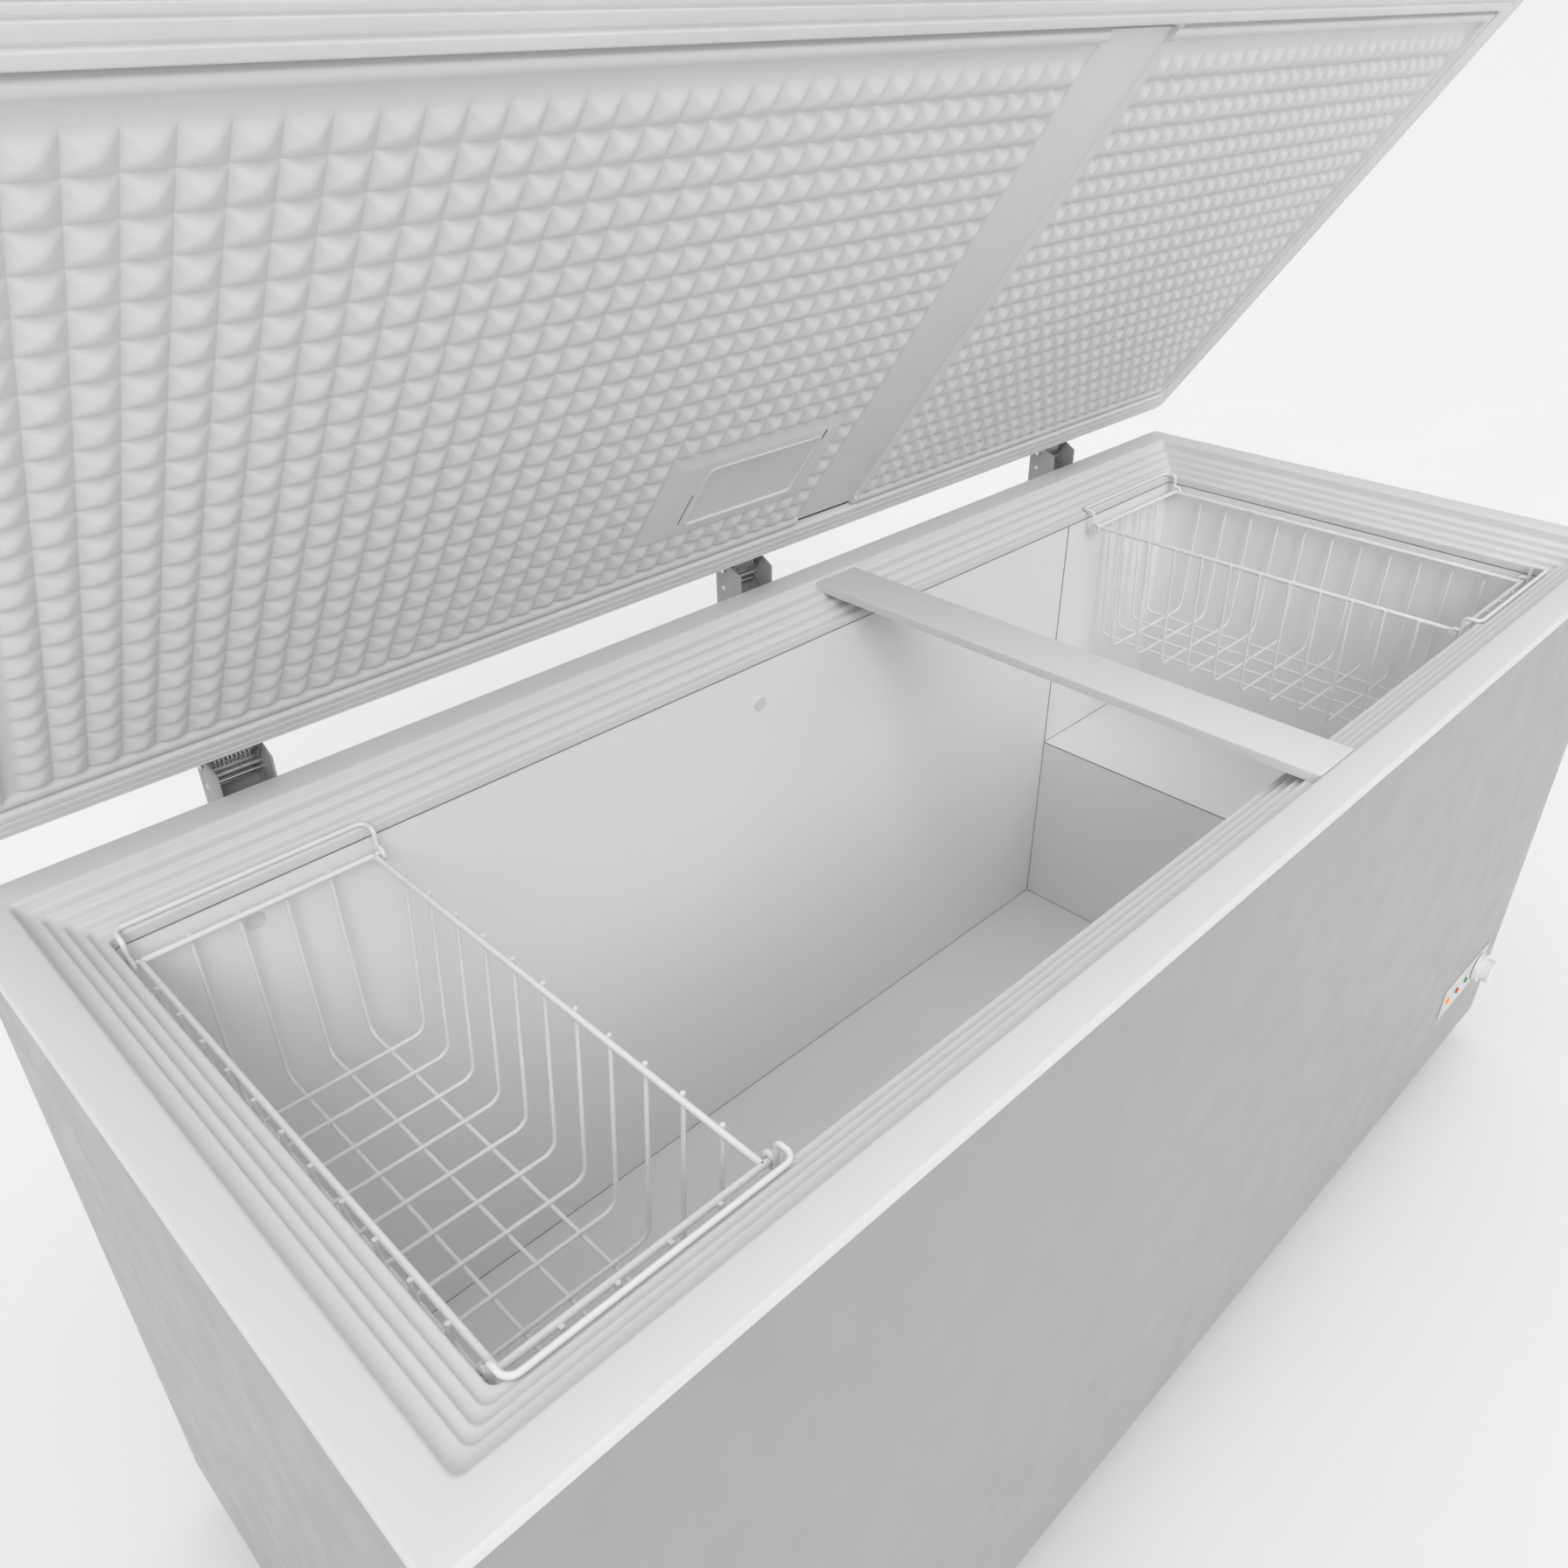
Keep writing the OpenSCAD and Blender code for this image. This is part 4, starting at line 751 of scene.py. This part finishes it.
bm = bmesh.new()
bmesh.ops.create_grid(bm, x_segments=24, y_segments=12, size=0.5)
for vert in bm.verts:  # a shallow dish, deepest in its middle, a millimetre clear of the recess
    sag = (1 - (2 * vert.co.x) ** 2) * (1 - (2 * vert.co.y) ** 2)
    vert.co = ((winLeft + winRight) / 2 * mm + vert.co.x * (winRight - winLeft - 2) * mm,
               rearY - (winRear + winFront) / 2 * mm - vert.co.y * (winFront - winRear - 2) * mm,
               rimTop + (lampPiece["lens"] + lampPiece["dish"] * sag) * mm)
faceDown(bm)
bmesh.ops.solidify(bm, geom=bm.faces, thickness=lampPiece["glass"] * mm)
openLid(bm)
makePiece(bm, "lamp_window", "lid", frostedLens, ["lamp_lens"])
print("lamp recess made")

# wires by radius; every length in millimetres
basketPiece = {"frame": 3.0, "grid": 2.1, "handle": 2.5, "stub": 11, "taper": 6, "margin": 40,
               "crossWires": 11, "longWires": 4, "bend": 14, "shoulder": 6, "shoulderBend": 10,
               "proud": 2.0, "floorDown": 0.5, "hair": 0.3, "inset": 4, "reach": 25, "ledgeUp": 22.8,
               "eyeBend": 6, "bailBend": 12}


def ringAround(centre, radius, sideY, start, end, steps):
    return [Vector((centre.x, centre.y + sideY * radius * cos(turn), centre.z + radius * sin(turn)))
            for turn in [start + (end - start) * i / steps for i in range(steps + 1)]]


def meshWire(top, down, floorFrom, floorTo, place):
    # one grid wire: down a side, across the floor and up the other; place turns (along, z) into a point
    bend, shoulder = basketPiece["bend"] * mm, basketPiece["shoulderBend"] * mm
    (outFrom, outTo), tip, neck = down, top + basketPiece["proud"] * mm, top - basketPiece["shoulder"] * mm
    (inFrom, floorZ), (inTo, _) = floorFrom, floorTo
    route = [(outFrom, tip), (outFrom, neck), (inFrom, floorZ), (inTo, floorZ), (outTo, neck), (outTo, tip)]
    return (rounded([place(along, z) for along, z in route], [0, shoulder, bend, bend, shoulder, 0], 6),
            basketPiece["grid"] * mm, False)


for side in ("left", "right"):
    low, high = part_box("basket_" + side)
    frameR, gridR, handleR = (basketPiece[wire] * mm for wire in ("frame", "grid", "handle"))
    stub, taper = basketPiece["stub"] * mm, basketPiece["taper"] * mm
    leftX, rightX, top = low.x + stub, high.x - stub, high.z - frameR
    half = (high.y - low.y) / 2 - frameR
    floorZ = low.z + 3 * gridR - basketPiece["floorDown"] * mm
    outside = frameR + gridR * 0.7  # the grid wires are welded to the frame's outer face
    paths = [([(x, midY - half, top), (x, midY + half, top)], frameR, False) for x in (leftX, rightX)]
    paths += [([(leftX - stub, y, top), (rightX + stub, y, top)], frameR, False)
              for y in (midY - half, midY + half)]
    firstY = half - taper - basketPiece["margin"] * mm
    for i in range(basketPiece["crossWires"]):
        y = midY - firstY + i * 2 * firstY / (basketPiece["crossWires"] - 1)
        paths.append(meshWire(top, (leftX - outside, rightX + outside), (leftX + taper, floorZ),
                              (rightX - taper, floorZ), lambda along, z: (along, y, z)))
    under = floorZ - 1.85 * gridR  # the long wires lie below the cross wires
    for i in range(1, basketPiece["longWires"] + 1):
        x = leftX + i * (rightX - leftX) / (basketPiece["longWires"] + 1)
        paths.append(meshWire(top, (midY - half - outside, midY + half + outside),
                              (midY - half + taper, under), (midY + half - taper, under),
                              lambda along, z: (x, along, z)))
    wirePiece("basket_%s_wires" % side, "basket_" + side, paths, wireCoat, stands=["basket_" + side])
    eye = frameR + basketPiece["hair"] * mm + handleR
    aside = stub - basketPiece["inset"] * mm
    ledge = top + basketPiece["ledgeUp"] * mm
    for end, sign in (("front", -1), ("back", 1)):
        barY, outY = midY + sign * half, midY + sign * (half + basketPiece["reach"] * mm)
        left, right = (ringAround(Vector((x, barY, top)), eye, sign, radians(50), radians(360), 18)
                       for x in (leftX - aside, rightX + aside))
        bail = rounded([left[-1], (leftX - aside, barY + sign * eye, ledge), (leftX - aside, outY, ledge),
                        (rightX + aside, outY, ledge), (rightX + aside, barY + sign * eye, ledge), right[-1]],
                       [basketPiece[bend] * mm if bend else 0
                        for bend in (None, "eyeBend", "bailBend", "bailBend", "eyeBend", None)], 6)
        node = "basket_%s_handle_%s" % (side, end)
        wirePiece(node + "_wire", node, [(left[:-1] + bail + right[:-1][::-1], handleR, False)], wireCoat,
                  stands=[node])
print("baskets made")

softened("hinge_brackets", 0.9, 2, whitePaint)
softened("hinge_leaves", 0.7, 2, galvanised)
# a spring round each pin, and two stays under it, each given as its distance behind and above the pin
springPiece = {"turns": 9, "wire": 1.3, "radius": 6.2, "length": 39.0, "fill": 0.96, "steps": 22,
               "stays": ((-2.5, -15.5), (7, -15)), "stay": 2.1, "stayHalf": 25.6}
low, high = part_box("hinge_springs")
reach, radius = springPiece["length"] / 2 * mm, springPiece["radius"] * mm
count = springPiece["turns"] * springPiece["steps"]
coils, stays = [], []
for middle in (low.x + reach, (low.x + high.x) / 2, high.x - reach):
    for back, up in springPiece["stays"]:
        stayEnds = [(middle + way * springPiece["stayHalf"] * mm, lidPin.y + back * mm, lidPin.z + up * mm)
                    for way in (-1, 1)]
        stays.append((stayEnds, springPiece["stay"] * mm, False))
    spring = []
    for i in range(count + 1):
        turn = 2 * pi * i / springPiece["steps"]
        spring.append((middle + reach * springPiece["fill"] * (2 * i / count - 1),
                       lidPin.y + radius * cos(turn), lidPin.z + radius * sin(turn)))
    coils.append((spring, springPiece["wire"] * mm, False))
wirePiece("hinge_springs_wound", "cabinet", coils, springSteel, ["hinge_springs"], sides=8)
wirePiece("hinge_stays", "cabinet", stays, springSteel, sides=16)
print("hinges made")

# plastic pieces with moulded edges
softened("lid_handle", 3.5, 4, knobPlastic)
softened("control_plate", 0.5, 2, greyPlastic)
